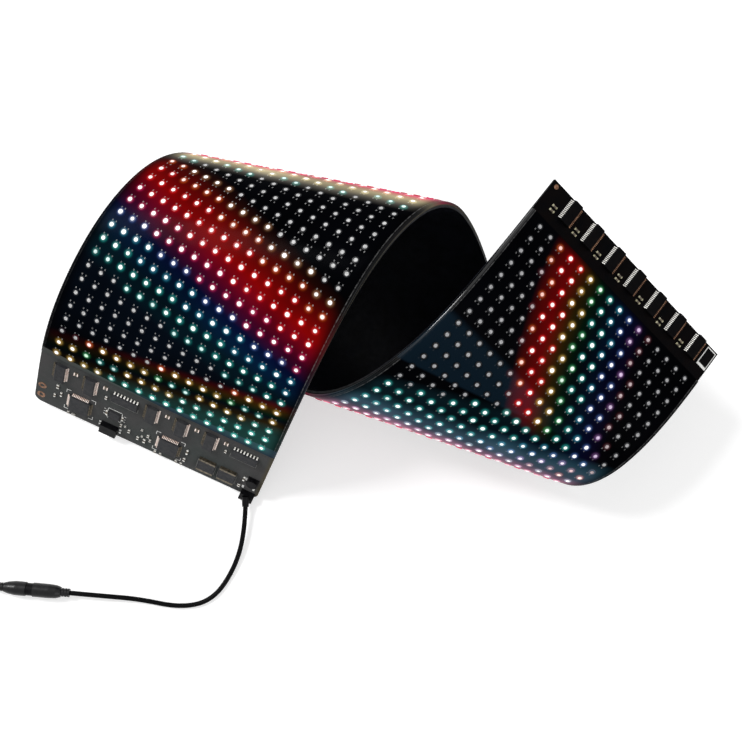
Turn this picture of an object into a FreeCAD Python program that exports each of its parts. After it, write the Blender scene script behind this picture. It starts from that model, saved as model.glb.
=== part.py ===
import FreeCAD, Part
import math
import os

# Flexible lamp panel for a car: a thin strip of sixteen by sixty-four lamps, wound into one open turn,
# with its control chips at one end, its driver chips at the other and a lead at the control end's corner.
# Millimetres. The panel's box is centred on X and Y, and it lies on z = 0.
Vec = FreeCAD.Vector

# Lamp matrix. Distances along the strip are measured from the first row of lamps.
lamp_pitch = 5.3
lamp_rows = 64
lamp_columns = 16
lens_width = 2.0
lens_height = 0.3

# Strip
side_margin = 5.85
controller_length = 32.3
driver_length = 15.9
pad_thickness = 0.8
circuit_thickness = 0.3
coat_thickness = 0.9
coat_border = 3.0
coat_chamfer = 0.6
corner_radius = 3.0
trim_margin = 1.0
trim_height = 8.0
trim_below = 5.0

# Bend of the strip: (lamp row, degrees of bend per row), straight between stations and flat past the ends
BENDS = ((-1, 0.0), (4, 4.2), (10, 4.4), (17, 7.5), (23, 11.2), (30, 1.7),
         (38, 6.8), (46, 9.9), (52, 7.2), (58, 2.9), (63.5, 0.0))
# Lean of the bend lines from square across the strip: (lamp row, degrees)
LEANS = ((0, -16.0), (8, -23.5), (16, -17.5), (24, -20.0), (34, -40.5),
         (44, -32.0), (54, -12.5), (63, -5.0))

# Way the strip lies at one row near the top of its arch
crest_row = 13
crest_heading = 57.2
crest_climb = 2.6
crest_bank = 15.9

# The wound strip is a chain of flat facets between its bend lines
walk_step = 0.5
facet_turn = 6.0
facet_run = 16.0
end_cut_reach = 8.0
seam_cut_reach = 22.0
flat_enough = 0.000001

# Narrow chips with a row of leads down each long side
chip_body_width = 3.9
chip_body_length = 8.65
chip_span = 6.0
chip_height = 1.5
chip_standoff = 0.12
chip_edge = 0.35
lead_sheet = 0.22
lead_foot = 0.6
lead_shoulder = 0.75
pin_row_length = 7.8

# Driver chips at the far end, evenly spaced across the strip
driver_count = 7
driver_spacing = 11.6
driver_first = -33.6
driver_edge_gap = 0.2
driver_capacitor_reach = 6.1
driver_capacitor_length = 2.3
driver_capacitor_width = 0.9
driver_capacitor_steps = (-2.4, -4.1)

# Control chips beside the first row of lamps
control_chip_along = -10.3
row_chip_places = (-37.3, -25.7, -1.5, 10.1, 21.7)
decoder_places = (-11.8, 35.5)
decoder_length = 9.9
decoder_pins = 8
decoder_pin_pitch = 1.27
decoder_pin_width = 0.45
bypass_places = (-31.5, -19.9, 4.4, 16.0, 27.6)
bypass_along = -7.6
bypass_width = 1.6
bypass_length = 1.7

# Two square processors
processor_places = ((-28.1, -24.0), (7.9, -24.4))
processor_body = 7.8
processor_span = 10.0
processor_height = 1.4
processor_row = 6.6

# Other parts of the control end
radio_place = (-14.5, -20.9)
radio_size = 4.0
radio_height = 0.9
socket_place = (-15.2, -29.3)
socket_width = 6.6
socket_depth = 4.4
socket_height = 2.4
socket_wall = 0.35
tongue_thickness = 0.6
choke_places = ((23.6, -25.3), (32.0, -25.3))
choke_width = 6.6
choke_length = 5.2
choke_height = 1.3
choke_terminal = 0.9
drum_place = (41.9, -22.6)
drum_base = 4.4
drum_diameter = 4.2
drum_waist = 3.2
drum_height = 1.9
drum_flange = 0.4
ring_places = ((-43.2, -22.6), (-43.2, -28.2))
ring_outer = 3.2
ring_inner = 1.5
ring_thickness = 0.12
fiducial_place = (-43.6, 348.2)
fiducial_diameter = 1.7
tag_place = (42.7, 345.4)
tag_width = 4.6
tag_length = 7.6
tag_thickness = 0.15
small_part_height = 0.55

# Chip capacitors: (across, along, width, length)
CAPACITORS = ((-37.3, -19.0, 1.0, 2.2), (-38.0, -24.7, 0.8, 1.8), (-19.0, -12.7, 0.9, 1.7),
              (28.3, -12.0, 0.8, 1.6), (-11.3, -24.7, 0.9, 1.7), (-7.8, -26.0, 0.9, 1.8),
              (-4.0, -27.6, 0.9, 2.0), (-1.4, -27.6, 1.0, 2.2), (15.0, -27.8, 0.9, 2.0),
              (3.6, -31.2, 0.9, 1.6), (5.8, -31.2, 0.9, 1.6), (12.2, -31.2, 0.9, 1.6),
              (14.3, -31.2, 0.9, 1.6), (-31.8, -31.2, 0.9, 1.4), (37.5, -28.0, 1.2, 1.6))
# Chip resistors: (across, along, width, length)
RESISTORS = ((-35.6, -22.6, 0.8, 2.4), (-9.6, -24.2, 0.8, 0.9), (-2.6, -25.5, 0.8, 0.9),
             (-3.2, -21.8, 0.9, 0.9), (-0.4, -23.8, 1.0, 1.6), (0.7, -25.9, 0.8, 1.5),
             (15.2, -22.6, 0.8, 2.8), (-17.6, -20.9, 0.7, 2.8), (-11.3, -20.6, 0.7, 2.2),
             (38.4, -22.8, 0.8, 2.6), (-29.7, -31.3, 1.5, 0.8))

# Corner terminal, which the lead leaves level with the floor
terminal_across = 41.9
terminal_width = 5.4
terminal_length = 3.8
terminal_height = 2.4
terminal_overhang = 0.9
boot_diameter = 3.0
boot_tip_diameter = 2.5
boot_length = 3.6

# Lead
lead_diameter = 1.8
LEAD_NEAR = ((-46.2, -65.3, 3.4), (-46.5, -76.3, 2.6), (-50.6, -89.4, 0.9), (-58.2, -100.2, 0.9),
             (-69.8, -102.9, 0.9), (-85.6, -99.5, 0.9), (-99.0, -98.06, 2.6), (-110.6, -96.9, 2.6))
LEAD_FAR = ((-137.6, -94.2, 2.6), (-141.6, -93.8, 2.6), (-146.0, -93.8, 0.9), (-149.8, -93.8, 0.9))
LEAD_TAIL = ((-172.2, -71.5, 3.6), (-172.2, -63.7, 3.6))
run_share = 0.45

# Inline coupler on the lead, two halves that meet at a ring
coupler_diameter = 5.2
coupler_ring_diameter = 4.6
coupler_ring_length = 2.6
socket_half_length = 13.3
relief_diameter = 3.2
relief_groove_diameter = 2.6
relief_length = 3.2
relief_ribs = 3
coupler_nose = 4.2

# Coil of spare lead: outside form of its turns, with a stub at each end
coil_middle_diameter = 21.6
coil_turns_across = 4
coil_turns_high = 4
coil_centre = (-161.4, -83.0)
coil_round = 1.6

# Power plug on the end of the lead
plug_boot_length = 9.0
plug_boot_diameter = 4.0
plug_body_width = 15.0
plug_body_height = 7.2
plug_body_length = 20.0
plug_body_round = 1.8
plug_shell_width = 12.0
plug_shell_height = 4.5
plug_shell_length = 12.0
plug_shell_wall = 0.35
plug_tongue_thickness = 1.9
plug_tongue_setback = 0.6

lamp_field_length = (lamp_rows - 1) * lamp_pitch
strip_width = (lamp_columns - 1) * lamp_pitch + 2 * side_margin
half_width = strip_width / 2
strip_start = -controller_length
strip_end = lamp_field_length + driver_length
coat_start = -coat_border
coat_end = lamp_field_length + coat_border
circuit_face = -coat_thickness
pad_face = circuit_face - circuit_thickness
pad_back = pad_face - pad_thickness
seam_along = lamp_field_length / 2


def between(stations, row):
    """Value of a station list at a row: straight between stations, constant past its ends."""
    if row <= stations[0][0]:
        return stations[0][1]
    for (row_a, value_a), (row_b, value_b) in zip(stations, stations[1:]):
        if row <= row_b:
            return value_a + (value_b - value_a) * (row - row_a) / (row_b - row_a)
    return stations[-1][1]


SLOPES = [(row, math.tan(math.radians(degrees))) for row, degrees in LEANS]


def bend(distance):
    """Bend of the strip, in radians for each millimetre along it."""
    return math.radians(between(BENDS, distance / lamp_pitch)) / lamp_pitch


def lean(distance):
    """How far a bend line runs back along the strip for each millimetre across it."""
    return between(SLOPES, distance / lamp_pitch)


def crest_frame():
    """Directions along and across the strip at the crest row."""
    heading = math.radians(crest_heading)
    climb = math.radians(crest_climb)
    bank = math.radians(crest_bank)
    along = Vec(math.cos(climb) * math.cos(heading), math.cos(climb) * math.sin(heading), math.sin(climb))
    level = Vec(math.sin(heading), -math.cos(heading), 0)
    upward = level.cross(along)
    across = level * math.cos(bank) + upward * math.sin(bank)
    return along, across


def wind(way, reach):
    """Flat facets of the strip from its crest row towards one end, and the bend lines between them.

    Each facet is (distance where it touches the curve, point there, along, across).
    Each bend line is (distance on the strip's middle line, lean).
    """
    along, across = crest_frame()
    touch = crest_row * lamp_pitch
    point = Vec(0, 0, 0)
    facets = [(touch, point, along, across)]
    lines = []
    distance = touch
    turned = 0.0
    while way * (reach - distance) > 0:
        turned += bend(distance + way * walk_step / 2) * walk_step
        distance += way * walk_step
        if math.degrees(turned) >= facet_turn or abs(distance - touch) >= facet_run:
            middle = (touch + distance) / 2
            axis = along * lean(middle) - across
            rotation = FreeCAD.Rotation(axis, way * math.degrees(turned * axis.Length))
            point = point + along * (middle - touch)
            along = rotation.multVec(along)
            across = rotation.multVec(across)
            point = point + along * (distance - middle)
            facets.append((distance, point, along, across))
            lines.append((middle, lean(middle)))
            touch = distance
            turned = 0.0
    return facets, lines


def wind_strip():
    """All facets and bend lines, in order along the strip."""
    backward, lines_back = wind(-1, strip_start)
    forward, lines_on = wind(1, strip_end)
    return backward[:0:-1] + forward, lines_back[::-1] + lines_on


FACETS, BEND_LINES = wind_strip()


def facet_point(facet, along_distance, across_distance):
    """Point in the plane of a facet."""
    touch, point, along, across = facet
    return point + along * (along_distance - touch) + across * across_distance


def outward(facet):
    """Direction out of the lamp side of a facet."""
    return facet[3].cross(facet[2])


def spot(along_distance, across_distance, lift):
    """Point of the wound strip over a place of the flat one, and the facet there."""
    passed = [line for line in BEND_LINES if along_distance > line[0] - line[1] * across_distance]
    facet = FACETS[len(passed)]
    return facet_point(facet, along_distance, across_distance) + outward(facet) * lift, facet


def outline_points():
    """Points of the flat strip's outline as (along, across), with the rounded corners of its control end."""
    points = []
    distance = strip_start + corner_radius
    while distance < strip_end:
        points += [(distance, -half_width), (distance, half_width)]
        distance += walk_step
    points += [(strip_end, -half_width), (strip_end, half_width)]
    for step in range(10):
        angle = math.radians(10 * step)
        inset = corner_radius * (1 - math.cos(angle))
        back = corner_radius * (1 - math.sin(angle))
        points += [(strip_start + back, inset - half_width), (strip_start + back, half_width - inset)]
    return points


def panel_shift():
    """Move that centres the panel's box on X and Y and stands it on z = 0."""
    corners = []
    for along, across in outline_points():
        coated = coat_start <= along <= coat_end
        top = -coat_chamfer if coated else circuit_face
        corners += [spot(along, across, pad_back)[0], spot(along, across, top)[0]]
        if coated:
            corners.append(spot(along, across - math.copysign(coat_chamfer, across), 0)[0])
    for row in range(lamp_rows):
        for side in (-1, 1):
            corners.append(spot(row * lamp_pitch, side * (lamp_columns - 1) / 2 * lamp_pitch, lens_height)[0])
    low = [min(corner[axis] for corner in corners) for axis in range(3)]
    high = [max(corner[axis] for corner in corners) for axis in range(3)]
    return Vec(-(low[0] + high[0]) / 2, -(low[1] + high[1]) / 2, -low[2])


SHIFT = panel_shift()


def seat(shape, across_distance, along_distance, lift):
    """Put a shape drawn flat, x across, y along and z outward, on its place on the strip."""
    point, facet = spot(along_distance, across_distance, lift)
    point = point + SHIFT
    along, across, out = facet[2], facet[3], outward(facet)
    matrix = FreeCAD.Matrix(across.x, along.x, out.x, point.x,
                            across.y, along.y, out.y, point.y,
                            across.z, along.z, out.z, point.z,
                            0, 0, 0, 1)
    copy = shape.copy()
    copy.Placement = FreeCAD.Placement(matrix).multiply(shape.Placement)
    return copy


def save(name, shapes):
    """Write one sub-part."""
    solids = shapes if isinstance(shapes, list) else [shapes]
    shape = solids[0] if len(solids) == 1 else Part.makeCompound(solids)
    shape.exportStep("parts/" + name + ".step")
    print(name, len(shape.Solids), shape.isValid(), round(shape.Volume, 2))


def sections():
    """Places of the sections that all layers share: (distance, lean, offset direction, facet)."""
    ends = ((strip_start, FACETS[0]), (strip_end, FACETS[-1]))
    places = []
    for (end, facet), way in zip(ends, (-1, 1)):
        slope = lean(end)
        places.append((end + way * (half_width * abs(slope) + walk_step), slope, outward(facet), facet))
    for (distance, slope), before, after in zip(BEND_LINES, FACETS, FACETS[1:]):
        both = outward(before) + outward(after)
        offset = both / (1 + outward(before).dot(outward(after)))
        places.append((distance, slope, offset, before))
    return sorted(places, key=lambda place: place[0])


def sections_over(first, last):
    """Shared sections that reach past a stretch of the strip at both of its edges."""
    places = sections()
    before = [place for place in places if place[0] + half_width * abs(place[1]) < first]
    after = [place for place in places if place[0] - half_width * abs(place[1]) > last]
    low = before[-1][0] if before else places[0][0]
    high = after[0][0] if after else places[-1][0]
    return [place for place in places if low <= place[0] <= high]


def skin(loops):
    """Closed solid over a row of matching loops: flat panels where four corners are level, else triangles."""
    faces = [Part.Face(Part.makePolygon(loop + loop[:1])) for loop in (loops[0], loops[-1])]
    for loop, next_loop in zip(loops, loops[1:]):
        for index in range(len(loop)):
            other = (index + 1) % len(loop)
            a, b, c, d = loop[index], loop[other], next_loop[other], next_loop[index]
            normal = (b - a).cross(c - a).normalize()
            if abs(normal.dot(d - a)) < flat_enough:
                faces.append(Part.Face(Part.makePolygon([a, b, c, d, a])))
            else:
                faces.append(Part.Face(Part.makePolygon([a, b, c, a])))
                faces.append(Part.Face(Part.makePolygon([a, c, d, a])))
    shell = Part.Shell(faces)
    shell.sewShape()
    solid = Part.Solid(shell)
    return solid if solid.Volume > 0 else solid.reversed()


def layer(profile, first, last):
    """A stretch of one layer, through its section on each bend line, with its ends square."""
    places = sections_over(first, last)
    loops = []
    for distance, slope, offset, facet in places:
        loops.append([facet_point(facet, distance - slope * side, side) + offset * lift + SHIFT
                      for side, lift in profile])
    solid = skin(loops)
    for end, way, outermost in ((first, -1, places[0]), (last, 1, places[-1])):
        depth = abs(end - outermost[0]) + half_width * abs(outermost[1]) + trim_margin
        reach = seam_cut_reach if end == seam_along else end_cut_reach
        low_corner = Vec(-half_width - reach, 0 if way > 0 else -depth, -reach)
        block = Part.makeBox(strip_width + 2 * reach, depth, 2 * reach, low_corner)
        solid = solid.cut(seat(block, 0, end, 0))
    return solid


def corner_trims(end, way):
    """Waste pieces outside the two rounded corners of one end."""
    trims = []
    reach = corner_radius + trim_margin
    for side in (-1, 1):
        corner = Part.makeBox(reach, reach, trim_height, Vec(-trim_margin, -trim_margin, -trim_below))
        disc = Part.makeCylinder(corner_radius, trim_height, Vec(corner_radius, corner_radius, -trim_below))
        waste = corner.cut(disc)
        turn = {(-1, -1): 0, (1, -1): 90, (1, 1): 180, (-1, 1): 270}[(side, way)]
        waste.rotate(Vec(0, 0, 0), Vec(0, 0, 1), turn)
        trims.append(seat(waste, side * half_width, end, circuit_face))
    return trims


def flat_profile(low, high):
    """Rectangular section across the strip, between two lifts."""
    return ((-half_width, low), (-half_width, high), (half_width, high), (half_width, low))


def control_backing():
    """Soft black backing sheet of the half with the control end."""
    solid = layer(flat_profile(pad_back, pad_face), strip_start, seam_along)
    return solid.cut(corner_trims(strip_start, -1))


def driver_backing():
    """Soft black backing sheet of the half with the driver end."""
    return layer(flat_profile(pad_back, pad_face), seam_along, strip_end)


def flex_circuit():
    """Flexible circuit that carries every lamp and chip."""
    solid = layer(flat_profile(pad_face, circuit_face), strip_start, strip_end)
    return solid.cut(corner_trims(strip_start, -1))


def face_coat(first, last):
    """Glossy coat over half of the lamp matrix, with chamfered long edges."""
    profile = ((-half_width, circuit_face), (-half_width, -coat_chamfer), (-half_width + coat_chamfer, 0),
               (half_width - coat_chamfer, 0), (half_width, -coat_chamfer), (half_width, circuit_face))
    return layer(profile, first, last)


def lens():
    """Low four-sided lens of one lamp."""
    half = lens_width / 2
    feet = [Vec(-half, -half, 0), Vec(half, -half, 0), Vec(half, half, 0), Vec(-half, half, 0)]
    top = Vec(0, 0, lens_height)
    faces = [Part.Face(Part.makePolygon(feet + feet[:1]))]
    for foot, next_foot in zip(feet, feet[1:] + feet[:1]):
        faces.append(Part.Face(Part.makePolygon([foot, next_foot, top, foot])))
    return Part.makeSolid(Part.makeShell(faces))


def lamp_lenses():
    """Lens of every lamp of the matrix."""
    shape = lens()
    lenses = []
    for row in range(lamp_rows):
        for column in range(lamp_columns):
            across = (column - (lamp_columns - 1) / 2) * lamp_pitch
            lenses.append(seat(shape, across, row * lamp_pitch, 0))
    return lenses


def prism(points, length):
    """Profile in x and z, extruded along y about its middle."""
    corners = [Vec(x, -length / 2, z) for x, z in points]
    face = Part.Face(Part.makePolygon(corners + corners[:1]))
    return face.extrude(Vec(0, length, 0))


def chip_body(width, length, height):
    """Moulded chip body with bevelled long edges."""
    half = width / 2
    return prism(((-half, chip_standoff), (half, chip_standoff), (half, height - chip_edge),
                  (half - chip_edge, height), (-half + chip_edge, height), (-half, height - chip_edge)), length)


def gull_wing(body_half, span_half, side, length):
    """Formed sheet lead, from the side of a chip body down to its foot."""
    knee = span_half - lead_foot
    points = ((body_half, lead_shoulder - lead_sheet), (knee - lead_sheet, lead_shoulder - lead_sheet),
              (knee - lead_sheet, 0), (span_half, 0), (span_half, lead_sheet), (knee, lead_sheet),
              (knee, lead_shoulder), (body_half, lead_shoulder))
    return prism([(side * x, z) for x, z in points], length)


def driver_places():
    """Places of the driver chips across the strip."""
    return [driver_first + index * driver_spacing for index in range(driver_count)]


def driver_along():
    """Place of the driver chips along the strip, just inside its far edge."""
    return strip_end - driver_edge_gap - chip_body_length / 2


def column_drivers():
    """Bodies of the driver chips at the far end."""
    shape = chip_body(chip_body_width, chip_body_length, chip_height)
    return [seat(shape, across, driver_along(), circuit_face) for across in driver_places()]


def column_driver_leads(side):
    """Row of leads down one side of each driver chip."""
    shape = gull_wing(chip_body_width / 2, chip_span / 2, side, pin_row_length)
    return [seat(shape, across, driver_along(), circuit_face) for across in driver_places()]


def column_capacitors():
    """Two capacitors beside each driver chip."""
    shape = Part.makeBox(driver_capacitor_length, driver_capacitor_width, small_part_height,
                         Vec(-driver_capacitor_length / 2, -driver_capacitor_width / 2, 0))
    parts = []
    for across in driver_places():
        for along in driver_capacitor_steps:
            parts.append(seat(shape, across - driver_capacitor_reach, driver_along() + along, circuit_face))
    return parts


def row_chips():
    """Bodies of the control chips beside the first row of lamps."""
    shape = chip_body(chip_body_width, chip_body_length, chip_height)
    return [seat(shape, across, control_chip_along, circuit_face) for across in row_chip_places]


def row_chip_leads():
    """Rows of leads of the control chips."""
    parts = []
    for side in (-1, 1):
        shape = gull_wing(chip_body_width / 2, chip_span / 2, side, pin_row_length)
        parts += [seat(shape, across, control_chip_along, circuit_face) for across in row_chip_places]
    return parts


def quarter_turn(shape):
    """Copy of a flat-drawn shape, turned a quarter about its outward axis."""
    copy = shape.copy()
    copy.rotate(Vec(0, 0, 0), Vec(0, 0, 1), 90)
    return copy


def decoder_chips():
    """Bodies of the two line decoders, which lie across the strip."""
    shape = quarter_turn(chip_body(chip_body_width, decoder_length, chip_height))
    return [seat(shape, across, control_chip_along, circuit_face) for across in decoder_places]


def decoder_leads():
    """Separate leads of the line decoders."""
    parts = []
    for side in (-1, 1):
        shape = quarter_turn(gull_wing(chip_body_width / 2, chip_span / 2, side, decoder_pin_width))
        for across in decoder_places:
            for pin in range(decoder_pins):
                offset = (pin - (decoder_pins - 1) / 2) * decoder_pin_pitch
                parts.append(seat(shape.translated(Vec(offset, 0, 0)), across, control_chip_along, circuit_face))
    return parts


def processors():
    """Bodies of the two processors."""
    shape = chip_body(processor_body, processor_body, processor_height)
    return [seat(shape, across, along, circuit_face) for across, along in processor_places]


def processor_leads():
    """Rows of leads on the four sides of the processors."""
    parts = []
    for side in (-1, 1):
        upright = gull_wing(processor_body / 2, processor_span / 2, side, processor_row)
        for shape in (upright, quarter_turn(upright)):
            parts += [seat(shape, across, along, circuit_face) for across, along in processor_places]
    return parts


def radio_chip():
    """Small square wireless chip."""
    half = radio_size / 2
    shape = Part.makeBox(radio_size, radio_size, radio_height, Vec(-half, -half, 0))
    return seat(shape, radio_place[0], radio_place[1], circuit_face)


def data_socket_shell():
    """Folded shell of the data socket, open towards the strip's end."""
    half = socket_width / 2
    outer = Part.makeBox(socket_width, socket_depth, socket_height, Vec(-half, -socket_depth / 2, 0))
    hollow = Part.makeBox(socket_width - 2 * socket_wall, socket_depth - socket_wall,
                          socket_height - 2 * socket_wall,
                          Vec(-half + socket_wall, -socket_depth / 2, socket_wall))
    return seat(outer.cut(hollow), socket_place[0], socket_place[1], circuit_face)


def data_socket_tongue():
    """Contact tongue inside the data socket."""
    width = socket_width - 4 * socket_wall
    depth = socket_depth - 3 * socket_wall
    low = (socket_height - tongue_thickness) / 2
    back = socket_depth / 2 - socket_wall
    shape = Part.makeBox(width, depth, tongue_thickness, Vec(-width / 2, back - depth, low))
    return seat(shape, socket_place[0], socket_place[1], circuit_face)


def choke_bodies():
    """Bodies of the two power chokes."""
    shape = Part.makeBox(choke_width, choke_length, choke_height, Vec(-choke_width / 2, -choke_length / 2, 0))
    return [seat(shape, across, along, circuit_face) for across, along in choke_places]


def choke_terminals():
    """Metal end of each choke, on both of its sides."""
    parts = []
    for way in (-1, 1):
        near = choke_length / 2 if way > 0 else -choke_length / 2 - choke_terminal
        shape = Part.makeBox(choke_width, choke_terminal, choke_height, Vec(-choke_width / 2, near, 0))
        parts += [seat(shape, across, along, circuit_face) for across, along in choke_places]
    return parts


def drum_inductor():
    """Small drum core: a waist between two flanges, on a square base."""
    base = Part.makeBox(drum_base, drum_base, drum_flange, Vec(-drum_base / 2, -drum_base / 2, 0))
    waist = Part.makeCylinder(drum_waist / 2, drum_height - 2 * drum_flange, Vec(0, 0, drum_flange))
    flange = Part.makeCylinder(drum_diameter / 2, drum_flange, Vec(0, 0, drum_height - drum_flange))
    return seat(base.fuse([waist, flange]), drum_place[0], drum_place[1], circuit_face)


def ring_pads():
    """Two copper ring pads at the edge of the control end."""
    disc = Part.makeCylinder(ring_outer / 2, ring_thickness)
    shape = disc.cut(Part.makeCylinder(ring_inner / 2, ring_thickness))
    return [seat(shape, across, along, circuit_face) for across, along in ring_places]


def fiducial_dot():
    """Copper dot at the corner of the far end."""
    shape = Part.makeCylinder(fiducial_diameter / 2, ring_thickness)
    return seat(shape, fiducial_place[0], fiducial_place[1], circuit_face)


def blank_tag():
    """Blank printed patch at the other corner of the far end."""
    shape = Part.makeBox(tag_width, tag_length, tag_thickness, Vec(-tag_width / 2, -tag_length / 2, 0))
    return seat(shape, tag_place[0], tag_place[1], circuit_face)


def small_parts(places):
    """Chip parts of one kind at their places."""
    parts = []
    for across, along, width, length in places:
        shape = Part.makeBox(width, length, small_part_height, Vec(-width / 2, -length / 2, 0))
        parts.append(seat(shape, across, along, circuit_face))
    return parts


def bypass_capacitors():
    """One capacitor between each pair of control chips."""
    return small_parts([(across, bypass_along, bypass_width, bypass_length) for across in bypass_places])


def corner_terminal():
    """Moulded terminal at the corner, with a short level boot for the lead."""
    along = strip_start - terminal_overhang + terminal_length / 2
    half = terminal_width / 2
    block = Part.makeBox(terminal_width, terminal_length, terminal_height, Vec(-half, -terminal_length / 2, 0))
    block = seat(block, terminal_across, along, circuit_face)
    start = Vec(*LEAD_NEAR[0])
    way = (Vec(*LEAD_NEAR[1]) - start).normalize()
    boot = Part.makeCone(boot_diameter / 2, boot_tip_diameter / 2, boot_length, start - way * boot_length, way)
    return block.fuse(boot)


def lead_tube(name, points):
    """Round lead: straight runs joined by the largest arcs that the runs allow. Prints the arcs' radii."""
    corners = [Vec(*point) for point in points]
    way = (corners[1] - corners[0]).normalize()
    disc = Part.Face(Part.Wire(Part.makeCircle(lead_diameter / 2, corners[0], way)))
    pieces = []
    radii = []
    length = 0.0
    last = corners[0]
    for before, corner, after in zip(corners, corners[1:], corners[2:]):
        way = (corner - before).normalize()
        way_out = (after - corner).normalize()
        turn = way.getAngle(way_out)
        cut = run_share * min((corner - before).Length, (after - corner).Length)
        radius = cut / math.tan(turn / 2)
        run = corner - way * cut - last
        pieces.append(disc.extrude(run))
        disc = disc.translated(run)
        axis = way.cross(way_out).normalize()
        centre = last + run + axis.cross(way) * radius
        pieces.append(disc.revolve(centre, axis, math.degrees(turn)))
        disc = disc.rotated(centre, axis, math.degrees(turn))
        last = corner + way_out * cut
        radii.append(round(radius, 1))
        length += run.Length + radius * turn
    pieces.append(disc.extrude(corners[-1] - last))
    length += (corners[-1] - last).Length
    tube = pieces[0].fuse(pieces[1:]) if len(pieces) > 1 else pieces[0]
    ideal = math.pi * (lead_diameter / 2) ** 2 * length
    print(name, "length", round(length, 1), "radii", radii, "volume share", round(tube.Volume / ideal, 4))
    return tube


def turned(profile, start, way):
    """Round part from a profile of distance and radius, turned about an axis."""
    way = Vec(*way).normalize()
    points = [Vec(distance, 0, radius) for distance, radius in profile]
    points = [Vec(profile[0][0], 0, 0)] + points + [Vec(profile[-1][0], 0, 0)]
    face = Part.Face(Part.makePolygon(points + points[:1]))
    solid = face.revolve(Vec(0, 0, 0), Vec(1, 0, 0), 360)
    solid.Placement = FreeCAD.Placement(Vec(*start), FreeCAD.Rotation(Vec(1, 0, 0), way))
    return solid


def relief_profile(start, way):
    """Ribbed strain relief: rings and grooves from its tip inwards."""
    pitch = relief_length / relief_ribs
    profile = []
    for rib in range(relief_ribs):
        near = start + way * rib * pitch
        profile += [(near, relief_diameter / 2), (near + way * pitch * 0.6, relief_diameter / 2),
                    (near + way * pitch * 0.6, relief_groove_diameter / 2),
                    (near + way * pitch, relief_groove_diameter / 2)]
    return profile


def coupler_axis():
    """Start of the coupler at the end of the near lead, and its direction towards the far lead."""
    start = Vec(*LEAD_NEAR[-1])
    way = (Vec(*LEAD_FAR[0]) - start).normalize()
    return start, way


def coupler_socket_half():
    """Half of the coupler on the near lead."""
    start, way = coupler_axis()
    body = coupler_diameter / 2
    profile = relief_profile(0, 1)
    profile += [(relief_length, body * 0.72), (relief_length + coupler_nose * 0.4, body * 0.93),
                (relief_length + coupler_nose, body), (socket_half_length, body)]
    return turned(profile, start, way)


def coupler_ring():
    """Narrow ring where the halves meet."""
    start, way = coupler_axis()
    radius = coupler_ring_diameter / 2
    profile = ((socket_half_length, radius), (socket_half_length + coupler_ring_length, radius))
    return turned(profile, start, way)


def coupler_plug_half():
    """Half of the coupler on the far lead."""
    start, way = coupler_axis()
    begin = socket_half_length + coupler_ring_length
    end = (Vec(*LEAD_FAR[0]) - Vec(*LEAD_NEAR[-1])).Length
    body = coupler_diameter / 2
    relief = relief_profile(end, -1)
    profile = [(begin, body), (end - relief_length - coupler_nose, body),
               (end - relief_length - coupler_nose * 0.4, body * 0.86), (end - relief_length, body * 0.66)]
    return turned(profile + relief[::-1], start, way)


def lead_coil():
    """Coil of spare lead as one ring, with a level stub of lead at each end."""
    across = coil_turns_across * lead_diameter
    height = coil_turns_high * lead_diameter
    middle = coil_middle_diameter / 2
    centre = Vec(coil_centre[0], coil_centre[1], 0)
    inner = middle - across / 2
    outer = middle + across / 2
    cut = coil_round
    points = ((inner + cut, 0), (outer - cut, 0), (outer, cut), (outer, height - cut),
              (outer - cut, height), (inner + cut, height), (inner, height - cut), (inner, cut))
    corners = [Vec(x, 0, z) for x, z in points]
    ring = Part.Face(Part.makePolygon(corners + corners[:1])).revolve(Vec(0, 0, 0), Vec(0, 0, 1), 360)
    ring.translate(centre)
    radius = lead_diameter / 2
    arriving = Vec(coil_centre[0], LEAD_FAR[-1][1], LEAD_FAR[-1][2])
    leaving = Vec(LEAD_TAIL[0][0], coil_centre[1], LEAD_TAIL[0][2])
    stub_in = Part.makeCylinder(radius, LEAD_FAR[-1][0] - coil_centre[0], arriving, Vec(1, 0, 0))
    stub_out = Part.makeCylinder(radius, LEAD_TAIL[0][1] - coil_centre[1], leaving, Vec(0, 1, 0))
    return ring.fuse([stub_in, stub_out])


def plug_start():
    """Point where the lead enters the plug's boot."""
    return Vec(*LEAD_TAIL[-1])


def plug_boot():
    """Tapered boot between the lead and the plug."""
    start = plug_start()
    return Part.makeCone(relief_groove_diameter / 2, plug_boot_diameter / 2, plug_boot_length, start, Vec(0, 1, 0))


def plug_body():
    """Moulded body of the power plug, with rounded long edges."""
    start = plug_start() + Vec(0, plug_boot_length, 0)
    box = Part.makeBox(plug_body_width, plug_body_length, plug_body_height,
                       start - Vec(plug_body_width / 2, 0, plug_body_height / 2))
    edges = [edge for edge in box.Edges if abs(edge.tangentAt(edge.FirstParameter).y) > 0.9]
    return box.makeFillet(plug_body_round, edges)


def plug_shell():
    """Metal shell of the plug, open at its mouth, around its hollow."""
    start = plug_start() + Vec(0, plug_boot_length + plug_body_length, 0)
    corner = start - Vec(plug_shell_width / 2, 0, plug_shell_height / 2)
    outer = Part.makeBox(plug_shell_width, plug_shell_length, plug_shell_height, corner)
    hollow = Part.makeBox(plug_shell_width - 2 * plug_shell_wall, plug_shell_length,
                          plug_shell_height - 2 * plug_shell_wall,
                          corner + Vec(plug_shell_wall, 0, plug_shell_wall))
    return outer.cut(hollow)


def plug_tongue():
    """Contact block in the lower half of the shell."""
    start = plug_start() + Vec(0, plug_boot_length + plug_body_length, 0)
    width = plug_shell_width - 2 * plug_shell_wall
    low = -plug_shell_height / 2 + plug_shell_wall
    return Part.makeBox(width, plug_shell_length - plug_tongue_setback, plug_tongue_thickness,
                        start + Vec(-width / 2, 0, low))


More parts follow.
